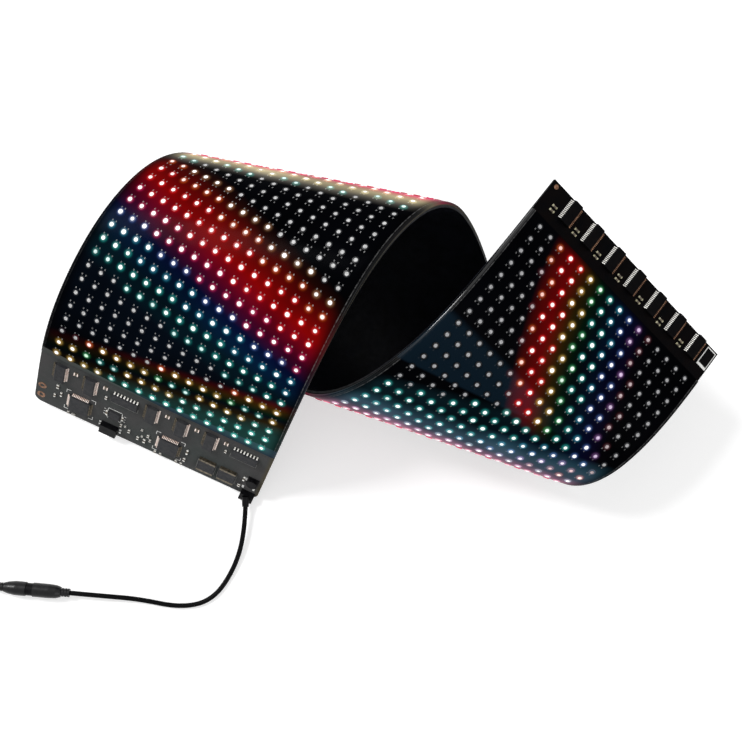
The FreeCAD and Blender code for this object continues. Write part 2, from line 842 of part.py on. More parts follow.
def main():
    os.makedirs("parts", exist_ok=True)
    save("control_backing_pad", control_backing())
    save("driver_backing_pad", driver_backing())
    save("flex_circuit", flex_circuit())
    save("control_face_coat", face_coat(coat_start, seam_along))
    save("driver_face_coat", face_coat(seam_along, coat_end))
    save("lamp_lenses", lamp_lenses())
    save("column_driver_chips", column_drivers())
    save("column_driver_near_leads", column_driver_leads(-1))
    save("column_driver_far_leads", column_driver_leads(1))
    save("column_capacitors", column_capacitors())
    save("row_driver_chips", row_chips())
    save("row_driver_leads", row_chip_leads())
    save("line_decoder_chips", decoder_chips())
    save("line_decoder_leads", decoder_leads())
    save("bypass_capacitors", bypass_capacitors())
    save("processor_chips", processors())
    save("processor_leads", processor_leads())
    save("wireless_chip", radio_chip())
    save("data_socket_shell", data_socket_shell())
    save("data_socket_tongue", data_socket_tongue())
    save("power_choke_bodies", choke_bodies())
    save("power_choke_terminals", choke_terminals())
    save("drum_inductor", drum_inductor())
    save("chip_capacitors", small_parts(CAPACITORS))
    save("chip_resistors", small_parts(RESISTORS))
    save("ring_pads", ring_pads())
    save("fiducial_dot", fiducial_dot())
    save("blank_tag", blank_tag())
    save("corner_terminal", corner_terminal())
    save("near_lead", lead_tube("near_lead", LEAD_NEAR))
    save("coupler_socket_half", coupler_socket_half())
    save("coupler_ring", coupler_ring())
    save("coupler_plug_half", coupler_plug_half())
    save("far_lead", lead_tube("far_lead", LEAD_FAR))
    save("lead_coil", lead_coil())
    save("tail_lead", lead_tube("tail_lead", LEAD_TAIL))
    save("plug_boot", plug_boot())
    save("plug_body", plug_body())
    save("plug_shell", plug_shell())
    save("plug_tongue", plug_tongue())


main()
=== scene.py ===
import bmesh
import bpy
import math
from mathutils import Matrix, Vector


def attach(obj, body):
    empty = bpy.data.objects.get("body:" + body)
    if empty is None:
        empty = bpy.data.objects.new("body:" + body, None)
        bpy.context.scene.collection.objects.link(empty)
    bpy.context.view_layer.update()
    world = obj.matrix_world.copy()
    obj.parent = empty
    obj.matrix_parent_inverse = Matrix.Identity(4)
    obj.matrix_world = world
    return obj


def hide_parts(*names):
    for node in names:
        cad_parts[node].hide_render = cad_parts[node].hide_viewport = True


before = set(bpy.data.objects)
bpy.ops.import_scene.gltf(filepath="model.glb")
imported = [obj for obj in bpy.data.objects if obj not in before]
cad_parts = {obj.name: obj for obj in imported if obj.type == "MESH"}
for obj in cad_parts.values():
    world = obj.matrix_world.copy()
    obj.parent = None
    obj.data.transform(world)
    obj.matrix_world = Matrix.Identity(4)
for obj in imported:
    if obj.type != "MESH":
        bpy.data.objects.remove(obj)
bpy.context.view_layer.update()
bpy.ops.object.select_all(action="DESELECT")

# Flexible lamp panel, metres. Sixteen columns by sixty-four rows of lamps on a thin black strip that is
# wound into one open turn.
PITCH = 0.0053
ROWS = 64
COLUMNS = 16
MIDDLE_COLUMN = (COLUMNS - 1) / 2
MIDDLE_ROW = (ROWS - 1) / 2
LENS_RADIUS = 0.00125
HALF_WIDTH = 0.0456
# Along the strip, from the first row of lamps
STRIP_START = -0.0323
FIELD_END = (ROWS - 1) * PITCH
STRIP_END = FIELD_END + 0.0159
COAT_START = -0.003
COAT_END = FIELD_END + 0.003
# Heights, from the coat's outer face
BOARD_FACE = -0.0009
BACKING_FACE = -0.0012
BACK = -0.002
CORNER_RADIUS = 0.003
COAT_ROUND = 0.0006
# Cuts of the bench sheets before they are wound: in turn along the strip, and once across it
LONG_CUTS = (6, 6, 6)
WIDE_CUTS = 31

# Places of the chips on the flat strip: (across, along)
DRIVERS = [(-0.0336 + 0.0116 * number, 0.345275) for number in range(7)]
ROW_CHIPS = [(across, -0.0103) for across in (-0.0373, -0.0257, -0.0015, 0.0101, 0.0217)]
DECODERS = [(-0.0118, -0.0103), (0.0355, -0.0103)]
PROCESSORS = [(-0.0281, -0.0240), (0.0079, -0.0244)]
WIRELESS_CHIP = (-0.0145, -0.0209)
# Their rows of pins: (how many, how far apart)
NARROW_ROW = (12, 0.00065)
WIDE_ROW = (8, 0.00127)
PROCESSOR_ROW = (11, 0.0006)


# ---- Camera and leads ----

def stand_camera():
    lens = bpy.data.cameras.new("camera")
    lens.lens = 51.35
    lens.sensor_width = 36.0
    lens.clip_start = 0.01
    lens.clip_end = 50.0
    camera = bpy.data.objects.new("camera", lens)
    camera.matrix_world = Matrix((
        (0.99754697, -0.00589451, -0.06975166, -0.02594),
        (0.0, 0.99644829, -0.0842069, -0.04985),
        (0.07000028, 0.08400034, 0.99400398, 0.41094),
        (0.0, 0.0, 0.0, 1.0)))
    bpy.context.scene.collection.objects.link(camera)
    bpy.context.scene.camera = camera


stand_camera()

LEAD_DIAMETER = 0.0018
NEAR_ROUTE = [
    (-0.0462, -0.0653, 0.0034), (-0.0465, -0.0763, 0.0026), (-0.0506, -0.0894, 0.0009),
    (-0.0582, -0.1002, 0.0009), (-0.0698, -0.1029, 0.0009), (-0.0856, -0.0995, 0.0009),
    (-0.0990, -0.09806, 0.0026), (-0.1106, -0.0969, 0.0026)]
FAR_ROUTE = [
    (-0.1376, -0.0942, 0.0026), (-0.1416, -0.0940, 0.0026), (-0.1460, -0.0946, 0.0009),
    (-0.1500, -0.0958, 0.0009), (-0.1560, -0.0964, 0.0009)]
TAIL_ROUTE = [
    (-0.1750, -0.0828, 0.0063), (-0.1745, -0.0775, 0.0055), (-0.1732, -0.0725, 0.0042),
    (-0.1722, -0.0680, 0.0036), (-0.1722, -0.0637, 0.0036)]
COIL_CENTRE = (-0.1614, -0.0830)
COIL_OUTER = 0.0135
COIL_INNER = 0.0081
POINTS_A_TURN = 16


def coil_points():
    """The spare lead's turns: four layers, each about three turns in or out, with half a turn up between them."""
    points = []
    angle = -90.0
    height = LEAD_DIAMETER / 2
    for layer, turns in enumerate((3.0, 3.0, 3.0, 2.75)):
        start, end = (COIL_OUTER, COIL_INNER) if layer % 2 == 0 else (COIL_INNER, COIL_OUTER)
        steps = int(turns * POINTS_A_TURN)
        for step in range(steps):
            points.append((angle, start + (end - start) * step / steps, height))
            angle -= 360.0 / POINTS_A_TURN
        if layer < 3:
            for step in range(POINTS_A_TURN // 2):
                points.append((angle, end, height + LEAD_DIAMETER * step / (POINTS_A_TURN // 2)))
                angle -= 360.0 / POINTS_A_TURN
        height += LEAD_DIAMETER
    return [(COIL_CENTRE[0] + radius * math.cos(math.radians(turned)),
             COIL_CENTRE[1] + radius * math.sin(math.radians(turned)), up)
            for turned, radius, up in points]


def lead(name, route):
    curve = bpy.data.curves.new(name, "CURVE")
    curve.dimensions = "3D"
    curve.bevel_depth = 1.0
    curve.bevel_resolution = 4
    curve.resolution_u = 6
    curve.use_fill_caps = True
    spline = curve.splines.new("NURBS")
    spline.points.add(len(route) - 1)
    for point, place in zip(spline.points, route):
        point.co = (*place, 1.0)
        point.radius = LEAD_DIAMETER / 2
    spline.order_u = 3
    spline.use_endpoint_u = True
    piece = bpy.data.objects.new(name, curve)
    bpy.context.scene.collection.objects.link(piece)
    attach(piece, "root")
    return piece


near_cord = lead("near_cord", NEAR_ROUTE)
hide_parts("near_lead")
far_cord = lead("far_cord", FAR_ROUTE + coil_points() + TAIL_ROUTE)
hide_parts("far_lead", "lead_coil", "tail_lead")


# ---- Bend of the strip ----

# (lamp row, degrees of bend per row) and (lamp row, degrees that the bend lines lean)
BENDS = ((-1, 0.0), (4, 4.2), (10, 4.4), (17, 7.5), (23, 11.2), (30, 1.7),
         (38, 6.8), (46, 9.9), (52, 7.2), (58, 2.9), (63.5, 0.0))
LEANS = ((0, -16.0), (8, -23.5), (16, -17.5), (24, -20.0), (34, -40.5),
         (44, -32.0), (54, -12.5), (63, -5.0))
SLOPES = [(row, math.tan(math.radians(degrees))) for row, degrees in LEANS]
# (lamp row, how far the strip settles there on its solids, metres)
SETTLES = ((-2, Vector((-0.000075, -0.000103, 0.000185))), (0, Vector((-0.000066, -0.0001, 0.000144))),
           (6, Vector((-0.00002, 0.0, 0.00008))), (13, Vector((0.0, 0.0, 0.0))),
           (25, Vector((0.0, 0.0, 0.0))), (38, Vector((0.00002, 0.00003, 0.00007))),
           (47, Vector((0.00004, 0.000075, 0.000106))), (57, Vector((0.000015, 0.00002, 0.000125))),
           (63, Vector((0.000028, -0.000018, 0.000324))))
CREST_ROW = 13
CREST_PLACE = Vector((-0.0489178, 0.0231225, 0.0629929))
CREST_HEADING, CREST_CLIMB, CREST_BANK = (math.radians(57.2), math.radians(2.6), math.radians(15.9))
STEP = 0.0005


def between(stations, row):
    if row <= stations[0][0]:
        return stations[0][1]
    for (row_a, value_a), (row_b, value_b) in zip(stations, stations[1:]):
        if row <= row_b:
            return value_a + (value_b - value_a) * ((row - row_a) / (row_b - row_a))
    return stations[-1][1]


def wind(way, reach):
    """Flats of the strip from its crest to one end, and the bend lines between them."""
    along = Vector((math.cos(CREST_CLIMB) * math.cos(CREST_HEADING),
                    math.cos(CREST_CLIMB) * math.sin(CREST_HEADING), math.sin(CREST_CLIMB)))
    level = Vector((math.sin(CREST_HEADING), -math.cos(CREST_HEADING), 0))
    across = level * math.cos(CREST_BANK) + level.cross(along) * math.sin(CREST_BANK)
    touch = CREST_ROW * PITCH
    place = CREST_PLACE.copy()
    flats, folds = [(touch, place, along, across)], []
    while way * (reach - touch) > 0:
        fold = touch + way * STEP / 2
        slope = between(SLOPES, fold / PITCH)
        turn = math.radians(between(BENDS, fold / PITCH)) / PITCH * STEP
        axis = along * slope - across
        turned = Matrix.Rotation(way * turn * axis.length, 3, axis.normalized())
        place = place + along * (way * STEP / 2)
        along, across = (turned @ along).normalized(), (turned @ across).normalized()
        place = place + along * (way * STEP / 2)
        touch += way * STEP
        flats.append((touch, place, along, across))
        folds.append((fold, slope))
    return flats, folds


flats_back, folds_back = wind(-1, STRIP_START)
flats_on, folds_on = wind(1, STRIP_END)
FLATS = flats_back[:0:-1] + flats_on
FOLDS = folds_back[::-1] + folds_on


def wound(across_place, along_place, lift):
    """Where a place of the flat strip is on the wound one."""
    low, high = 0, len(FOLDS)
    while low < high:
        middle = (low + high) // 2
        if along_place > FOLDS[middle][0] - FOLDS[middle][1] * across_place:
            low = middle + 1
        else:
            high = middle
    touch, place, along, across = FLATS[low]
    out = across.cross(along)
    settle = between(SETTLES, along_place / PITCH)
    return place + along * (along_place - touch) + across * across_place + out * lift + settle


# ---- Workshop ----

def into_piece(name, slot, finish, *nodes):
    """Name the active object, give it its finish and let it ride on the panel."""
    piece = bpy.context.object
    piece.name = name
    piece.data.name = name
    bpy.ops.object.transform_apply(location=True, rotation=True, scale=True)
    piece.data.materials.clear()
    piece.data.materials.append(finish)
    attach(piece, "root")
    if nodes:
        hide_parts(*nodes)
    bpy.ops.object.select_all(action="DESELECT")
    return piece


def select_edges(test):
    """In edit mode, select the edges whose two ends pass the test."""
    bpy.ops.mesh.select_mode(type="EDGE")
    bpy.ops.mesh.select_all(action="DESELECT")
    mesh = bmesh.from_edit_mesh(bpy.context.object.data)
    for edge in mesh.edges:
        if test(edge.verts[0].co, edge.verts[1].co):
            edge.select_set(True)
    bmesh.update_edit_mesh(bpy.context.object.data)


def select_faces(test):
    """In edit mode, select the faces whose normal passes the test."""
    bpy.ops.mesh.select_mode(type="FACE")
    bpy.ops.mesh.select_all(action="DESELECT")
    mesh = bmesh.from_edit_mesh(bpy.context.object.data)
    for face in mesh.faces:
        face.select_set(test(face.normal))
    bmesh.update_edit_mesh(bpy.context.object.data)


def lengthwise(a, b):
    return abs(a.y - b.y) > 1e-6 and abs(a.x - b.x) < 1e-6 and abs(a.z - b.z) < 1e-6


def crosswise(a, b):
    return abs(a.x - b.x) > 0.004 and abs(a.y - b.y) < 1e-6 and abs(a.z - b.z) < 1e-6


def flat_sheet(first, last, low, high, chamfer, rounded):
    """A flat strip modelled on the bench: x across, y along, z outward."""
    bpy.ops.mesh.primitive_cube_add(size=1, location=(0, (first + last) / 2, (low + high) / 2))
    bpy.context.object.scale = (2 * HALF_WIDTH, last - first, high - low)
    bpy.ops.object.transform_apply(location=True, rotation=True, scale=True)
    bpy.ops.object.mode_set(mode="EDIT")
    if chamfer:
        select_edges(lambda a, b: lengthwise(a, b) and a.z > (low + high) / 2)
        bpy.ops.mesh.bevel(offset=chamfer, segments=3, profile=0.5, affect="EDGES")
    if rounded:
        for turned in range(15, 91, 15):
            place = first + CORNER_RADIUS * (1 - math.cos(math.radians(turned)))
            bpy.ops.mesh.select_all(action="SELECT")
            bpy.ops.mesh.bisect(plane_co=(0, place, 0), plane_no=(0, 1, 0))
    for cuts in LONG_CUTS:
        select_edges(lambda a, b: lengthwise(a, b) and abs(a.y - b.y) > 0.0009)
        bpy.ops.mesh.subdivide(number_cuts=cuts)
    select_edges(crosswise)
    bpy.ops.mesh.subdivide(number_cuts=WIDE_CUTS)
    if rounded:
        mesh = bmesh.from_edit_mesh(bpy.context.object.data)
        for vertex in mesh.verts:
            back = CORNER_RADIUS - (vertex.co.y - first)
            if back > 0:
                inset = CORNER_RADIUS - math.sqrt(max(0.0, CORNER_RADIUS ** 2 - back ** 2))
                vertex.co.x *= (HALF_WIDTH - inset) / HALF_WIDTH
        bmesh.update_edit_mesh(bpy.context.object.data)
    bpy.ops.object.mode_set(mode="OBJECT")


def chart_and_wind(piece):
    """Write the strip's columns and rows as the UV map, then wind the flat sheet."""
    mesh = piece.data
    while mesh.uv_layers:
        mesh.uv_layers.remove(mesh.uv_layers[0])
    chart = mesh.uv_layers.new(name="strip")
    for loop in mesh.loops:
        flat = mesh.vertices[loop.vertex_index].co
        chart.data[loop.index].uv = (flat.x / PITCH + MIDDLE_COLUMN, flat.y / PITCH)
    for vertex in mesh.vertices:
        vertex.co = wound(vertex.co.x, vertex.co.y, vertex.co.z)
    mesh.update()


# ---- Finishes ----

class Bench:
    """Builds one finish, node by node."""

    def __init__(self, name):
        self.material = bpy.data.materials.new(name)
        self.material.use_nodes = True
        self.tree = self.material.node_tree
        self.shader = self.tree.nodes["Principled BSDF"]
        self.output = self.tree.nodes["Material Output"]

    def node(self, kind, inputs=(), **settings):
        made = self.tree.nodes.new(kind)
        for key, value in settings.items():
            setattr(made, key, value)
        for key, value in dict(inputs).items():
            self.feed(value, made.inputs[key])
        return made

    def feed(self, value, socket):
        if isinstance(value, bpy.types.NodeSocket):
            self.tree.links.new(value, socket)
        else:
            socket.default_value = value

    def sum(self, operation, *values, clamp=False):
        made = self.node("ShaderNodeMath", operation=operation, use_clamp=clamp)
        for value, socket in zip(values, made.inputs):
            self.feed(value, socket)
        return made.outputs[0]

    def ramp(self, value, stops, interpolation="LINEAR"):
        made = self.node("ShaderNodeValToRGB", {0: value})
        made.color_ramp.interpolation = interpolation
        elements = made.color_ramp.elements
        while len(elements) > 1:
            elements.remove(elements[0])
        elements[0].position = stops[0][0]
        elements[0].color = stops[0][1]
        for place, colour in stops[1:]:
            elements.new(place).color = colour
        return made

    def mix(self, share, first, second):
        made = self.node("ShaderNodeMix", data_type="RGBA")
        self.feed(share, made.inputs[0])
        self.feed(first, made.inputs[6])
        self.feed(second, made.inputs[7])
        return made.outputs[2]

    def noise(self, scale, detail=3.0, roughness=0.5):
        place = self.node("ShaderNodeTexCoord").outputs["Object"]
        return self.node("ShaderNodeTexNoise", {"Vector": place, "Scale": scale, "Detail": detail,
                                                "Roughness": roughness}).outputs["Fac"]

    def chart(self, name):
        return self.node("ShaderNodeUVMap", uv_map=name).outputs[0]

    def spread(self, value, low_in, high_in, low_out, high_out, smooth=False):
        made = self.node("ShaderNodeMapRange", {0: value, 1: low_in, 2: high_in, 3: low_out, 4: high_out})
        if smooth:
            made.interpolation_type = "SMOOTHSTEP"
        return made.outputs[0]

    def bump(self, height, strength, distance):
        made = self.node("ShaderNodeBump", {"Height": height, "Strength": strength, "Distance": distance})
        self.tree.links.new(made.outputs[0], self.shader.inputs["Normal"])


def grey(value):
    return (value, value, value, 1.0)


# Colours of the lamp picture: (light of the lamps, glow that they leave on the coat). The strong pale glows (haze,
# glare, rose, pink, mauve) are partly that glow and partly a painted reflection of the white surroundings where the
# coat is seen edge-on.
COLOURS = {
    "night": ((0.0, 0.0, 0.0), (0.0, 0.0001, 0.0004)),
    "dusk": ((0.0, 0.0, 0.0), (0.0008, 0.0028, 0.0063)),
    "teal": ((0.02, 0.50, 0.43), (0.0004, 0.0065, 0.011)),
    "cyan": ((0.02, 0.33, 0.48), (0.0, 0.0075, 0.026)),
    "blue": ((0.07, 0.16, 0.50), (0.0005, 0.0025, 0.024)),
    "magenta": ((0.80, 0.02, 0.14), (0.050, 0.0, 0.012)),
    "red": ((1.0, 0.012, 0.012), (0.22, 0.0003, 0.0002)),
    "orange": ((1.0, 0.16, 0.012), (0.095, 0.001, 0.0)),
    "amber": ((0.46, 0.22, 0.09), (0.016, 0.0015, 0.0)),
    "yellow": ((0.75, 0.46, 0.08), (0.045, 0.024, 0.0005)),
    "green": ((0.05, 0.55, 0.18), (0.001, 0.016, 0.005)),
    "ember": ((0.70, 0.12, 0.16), (0.0016, 0.0006, 0.0018)),
    "violet": ((0.50, 0.18, 0.60), (0.003, 0.001, 0.016)),
    "mauve": ((0.80, 0.55, 0.80), (0.42, 0.20, 0.32)),
    "pink": ((0.95, 0.50, 0.62), (0.66, 0.27, 0.36)),
    "lagoon": ((0.02, 0.50, 0.43), (0.05, 0.22, 0.19)),
    "slate": ((0.30, 0.52, 0.56), (0.090, 0.135, 0.20)),
    "surf": ((0.02, 0.50, 0.43), (0.045, 0.14, 0.20)),
    "shoal": ((0.02, 0.50, 0.43), (0.010, 0.042, 0.055)),
    "haze": ((0.03, 0.62, 0.52), (0.13, 0.12, 0.10)),
    "glare": ((0.90, 0.78, 0.40), (0.52, 0.44, 0.26)),
    "rose": ((0.95, 0.30, 0.35), (0.66, 0.02, 0.11)),
}


def band_stops(low, high, bands, soft):
    """Colour stops of bands (start, colour, heat): a lamp takes its band's colour, glow runs from middle to middle."""
    made = []
    for index, (start, name, heat) in enumerate(bands):
        light, glow = COLOURS[name]
        after = bands[index + 1][0] if index + 1 < len(bands) else start + 2
        place = (max(start, low) + after) / 2 if soft else start
        made.append((max(0.0, min(1.0, (place - low) / (high - low))), (*(glow if soft else light), heat)))
    return made


FRONT_BANDS = ((0, "dusk", 0), (6.9, "dusk", 0), (7.6, "teal", 0.55), (8.3, "teal", 0.95), (9.5, "cyan", 1),
               (10.8, "blue", 0.85), (11.65, "magenta", 0.95), (13.0, "red", 1), (15.45, "orange", 0.65),
               (16.3, "amber", 0.85), (17.3, "night", 0), (18.0, "night", 0))
FOOT_BANDS = ((-10, "lagoon", 0.9), (-2.4, "lagoon", 0.9), (-0.65, "yellow", 0.85), (0.1, "teal", 0.55),
              (0.5, "green", 0.5), (0.7, "yellow", 0.85), (1.5, "orange", 0.7), (1.9, "night", 0), (2.4, "night", 0))
# haze, glare and rose along the crest: lamp glow with a painted reflection in it
CROWN_BANDS = ((10, "night", 0), (15.0, "night", 0), (15.9, "night", 0), (16.3, "haze", 0.6), (17.15, "glare", 0.8),
               (18.3, "rose", 0.85), (19.6, "orange", 0.8), (21.5, "night", 0), (22.5, "night", 0), (28.0, "night", 0),
               (28.5, "teal", 0.8), (31.0, "blue", 0.85), (33.5, "violet", 0.7), (36.0, "ember", 0.5),
               (38.0, "magenta", 0.8), (40.0, "night", 0))
REAR_BANDS = ((-6, "night", 0), (0.7, "night", 0), (1.2, "ember", 0.1), (1.65, "orange", 0.55), (2.5, "red", 1),
              (4.3, "yellow", 0.95), (5.45, "green", 0.7), (6.3, "teal", 0.9), (7.6, "cyan", 0.95), (8.5, "blue", 0.8),
              (9.6, "violet", 0.4), (10.4, "ember", 0.15), (11.2, "night", 0), (12.4, "night", 0))
SILL_BANDS = ((-6, "shoal", 0.9), (7.4, "teal", 0.95), (10.6, "cyan", 0.9), (11.6, "blue", 0.85), (12.8, "violet", 0.7),
              (13.8, "ember", 0.6), (14.9, "orange", 0.7))
# rose, pink and mauve along the ledge, seen edge-on: lamp glow with a painted reflection in it
LEDGE_BANDS = ((40, "night", 0), (42.2, "rose", 0.7), (43.0, "pink", 0.85), (43.9, "mauve", 0.85),
               (44.7, "slate", 0.85), (45.9, "surf", 0.9))


def lamp_picture(bench, column, row, soft=False):
    """Colour and heat of the lamps at a column and row: bands that run aslant over the strip."""
    def field(value, low, high, bands):
        ramp = bench.ramp(bench.spread(value, low, high, 0, 1), band_stops(low, high, bands, soft),
                          "LINEAR" if soft else "CONSTANT")
        return ramp.outputs[0], ramp.outputs[1]

    def beyond(value, edge, blur):
        return bench.spread(value, edge - (blur if soft else 0.001), edge + (blur if soft else 0.001), 0, 1)

    # the slanted lines that the bands run along, and how far their regions reach
    slanted = bench.sum("MULTIPLY_ADD", column, 0.25, row)
    climbing = bench.sum("MULTIPLY_ADD", column, -0.2, row)
    rising = bench.sum("MULTIPLY_ADD", column, -0.3, row)
    from_end = bench.sum("SUBTRACT", ROWS - 1.0, row)
    drift = bench.sum("MULTIPLY", from_end, bench.sum("MULTIPLY_ADD", from_end, 0.03, 0.22))
    crossing = bench.sum("SUBTRACT", bench.sum("ADD", column, 53.0), row)
    ledge = bench.sum("MULTIPLY_ADD", column, -0.48, row)
    sill_edge = bench.sum("MINIMUM", bench.sum("MULTIPLY_ADD", column, 0.55, 49.3), 53.4)
    ledge_edge = 47.0 if soft else 45.2
    at_rear = beyond(row, 43.4, 0.4)
    at_sill = bench.sum("MULTIPLY", at_rear, beyond(bench.sum("SUBTRACT", sill_edge, row), 0.0, 0.5))
    at_ledge = bench.sum("MULTIPLY", beyond(row, 41.5, 0.5), beyond(bench.sum("SUBTRACT", ledge_edge, ledge), 0.0, 0.8))
    colour, heat = field(slanted, 0, 30, FRONT_BANDS)
    for share, (next_colour, next_heat) in (
            (beyond(rising, 16.4, 0.7), field(rising, 10, 50, CROWN_BANDS)),
            (beyond(bench.sum("SUBTRACT", 1.75, climbing), 0.0, 0.4), field(climbing, -10, 10, FOOT_BANDS)),
            (at_rear, field(bench.sum("SUBTRACT", column, drift), -6, 16, REAR_BANDS)),
            (at_sill, field(crossing, -6, 20, SILL_BANDS)),
            (at_ledge, field(ledge, 40, 48, LEDGE_BANDS))):
        colour = bench.mix(share, colour, next_colour)
        blend = bench.node("ShaderNodeMix", {0: share, 2: heat, 3: next_heat}, data_type="FLOAT")
        heat = blend.outputs[0]
    return colour, heat


def columns_and_rows(bench):
    parts = bench.node("ShaderNodeSeparateXYZ", {0: bench.chart("strip")})
    return parts.outputs[0], parts.outputs[1]


def lamp_coat_finish():
    """Glossy black coat: glow of the lit lamps, solder ticks beside each lamp, a painted highlight line inside each
    edge, and a painted navy reflection across the driver end.
    """
    bench = Bench("glossy_lamp_coat")
    column, row = columns_and_rows(bench)
    near_column, near_row = bench.sum("ROUND", column), bench.sum("ROUND", row)
    off_column, off_row = bench.sum("SUBTRACT", column, near_column), bench.sum("SUBTRACT", row, near_row)
    away = bench.sum("SQRT", bench.sum("ADD", bench.sum("MULTIPLY", off_column, off_column),
                                       bench.sum("MULTIPLY", off_row, off_row)))
    from_middle = bench.sum("ABSOLUTE", bench.sum("SUBTRACT", column, MIDDLE_COLUMN))
    from_centre = bench.sum("ABSOLUTE", bench.sum("SUBTRACT", row, MIDDLE_ROW))
    on_lamps = bench.sum("MULTIPLY", bench.sum("LESS_THAN", from_middle, COLUMNS / 2),
                         bench.sum("LESS_THAN", from_centre, ROWS / 2))
    light, heat = lamp_picture(bench, near_column, near_row)
    glow = lamp_picture(bench, column, row, soft=True)[0]
    cloudy = bench.noise(38.0, 2.0)
    ring = bench.sum("POWER", bench.spread(away, 0.19, 0.46, 1.0, 0.0), 3.4)
    ring = bench.sum("MULTIPLY", bench.sum("MULTIPLY", ring, bench.sum("MULTIPLY", heat, 0.36)), on_lamps)
    fading = bench.sum("MULTIPLY", bench.spread(from_middle, 7.7, 8.5, 1.0, 0.25, smooth=True),
                       bench.spread(from_centre, 31.6, 32.2, 1.0, 0.1, smooth=True))
    calm = bench.sum("MULTIPLY", bench.spread(row, 2.0, 6.0, 0.16, 1.0), bench.spread(row, 41.0, 43.0, 1.0, 0.42))
    veil = bench.sum("MULTIPLY", bench.sum("MULTIPLY", fading, calm), bench.spread(cloudy, 0.3, 0.7, 0.6, 1.4))
    halo = bench.node("ShaderNodeVectorMath", {0: light, 3: ring}, operation="SCALE")
    wash = bench.node("ShaderNodeVectorMath", {0: glow, 3: veil}, operation="SCALE")
    shine = bench.node("ShaderNodeVectorMath", {0: halo.outputs[0], 1: wash.outputs[0]}, operation="ADD")
    bench.feed(shine.outputs[0], bench.shader.inputs["Emission Color"])
    bench.shader.inputs["Emission Strength"].default_value = 1.0

    side = bench.sum("SUBTRACT", bench.sum("MULTIPLY", bench.sum("LESS_THAN", near_row, 15.5), 2.0), 1.0)
    tick_across = bench.sum("LESS_THAN", bench.sum("ABSOLUTE", bench.sum(
        "SUBTRACT", bench.sum("ABSOLUTE", off_column), 0.14)), 0.042)
    tick_along = bench.sum("LESS_THAN", bench.sum("ABSOLUTE", bench.sum(
        "SUBTRACT", bench.sum("MULTIPLY", off_row, side), 0.30)), 0.055)
    ticks = bench.sum("MULTIPLY", bench.sum("MULTIPLY", tick_across, tick_along), on_lamps)
    ticks = bench.sum("MULTIPLY", ticks, bench.spread(row, 42.0, 45.0, 1.0, 0.65))
    # a painted highlight: a thin grey line just inside each long edge, where the rounded edge catches the light
    painted_edge_highlight = bench.sum("LESS_THAN", bench.sum("ABSOLUTE", bench.sum("SUBTRACT", from_middle, 8.39)), 0.035)
    # the painted highlight line along the edge is faint on the front's left
    left_half = bench.sum("LESS_THAN", column, MIDDLE_COLUMN)
    highlight_fade = bench.sum("MULTIPLY", left_half, bench.spread(row, 18.0, 24.0, 0.8, 0.0))
    painted_edge_highlight = bench.sum("MULTIPLY", painted_edge_highlight, bench.sum("SUBTRACT", 1.0, highlight_fade))
    grain = bench.noise(900.0, 4.0)
    dark = bench.mix(bench.spread(cloudy, 0.3, 0.7, 0, 1), (0.0004, 0.0004, 0.0006, 1), (0.0010, 0.0011, 0.0017, 1))
    with_edge_highlight = bench.mix(bench.sum("MULTIPLY", painted_edge_highlight, bench.spread(grain, 0.4, 0.6, 0.10, 0.40)), dark, grey(0.16))
    marked = bench.mix(bench.sum("MULTIPLY", ticks, bench.spread(grain, 0.35, 0.65, 0.4, 0.9)), with_edge_highlight, grey(0.24))
    # at the control end the coat thins out to the board's grey on one side and to slate on the other
    edge = bench.sum("ADD", bench.spread(column, -1.0, 9.0, -0.05, -0.62), bench.spread(cloudy, 0.3, 0.7, -0.05, 0.05))
    thin = bench.sum("LESS_THAN", row, edge)
    slate = bench.sum("MULTIPLY", bench.sum("LESS_THAN", row, bench.spread(column, 4.0, 15.0, -0.45, 0.25)),
                      bench.spread(column, 2.0, 8.0, 0.0, 0.9))
    skin = bench.mix(slate, marked, (0.022, 0.030, 0.050, 1))
    # a painted reflection: a faint navy band across the coat just before the driver end, strongest at the low columns
    rise = bench.sum("SUBTRACT", row, bench.sum("MULTIPLY_ADD", column, 0.3, 51.0))
    haze = bench.sum("MULTIPLY", bench.spread(rise, 0.0, 0.25, 0.0, 1.0, smooth=True),
                     bench.spread(row, 54.9, 55.5, 1.0, 0.0, smooth=True))
    painted_reflection = bench.sum("MULTIPLY", haze, bench.spread(column, 6.0, 10.0, 0.9, 0.2))
    skin = bench.mix(painted_reflection, skin, (0.0040, 0.0105, 0.0180, 1))
    bench.feed(bench.mix(thin, skin, (0.058, 0.061, 0.060, 1)), bench.shader.inputs["Base Color"])
    gloss = bench.spread(bench.noise(160.0, 3.0), 0.3, 0.7, 0.14, 0.26)
    bench.feed(bench.sum("MAXIMUM", gloss, bench.sum("MULTIPLY", thin, 0.55)), bench.shader.inputs["Roughness"])
    bench.shader.inputs["Specular IOR Level"].default_value = 0.003
    # the rounded edge is clear, and polished bright beside the driver end
    polished = bench.sum("MULTIPLY", bench.spread(row, 50.0, 53.0, 0.0, 0.8), left_half)
    rounding = bench.spread(from_middle, 8.42, 8.52, 0.0, 1.0, smooth=True)
    bench.feed(bench.sum("MULTIPLY", rounding, bench.sum("ADD", polished, 0.2)), bench.shader.inputs["Coat Weight"])
    bench.shader.inputs["Coat Roughness"].default_value = 0.06
    bench.bump(bench.noise(70.0, 2.0), 0.35, 0.0003)
    return bench.material


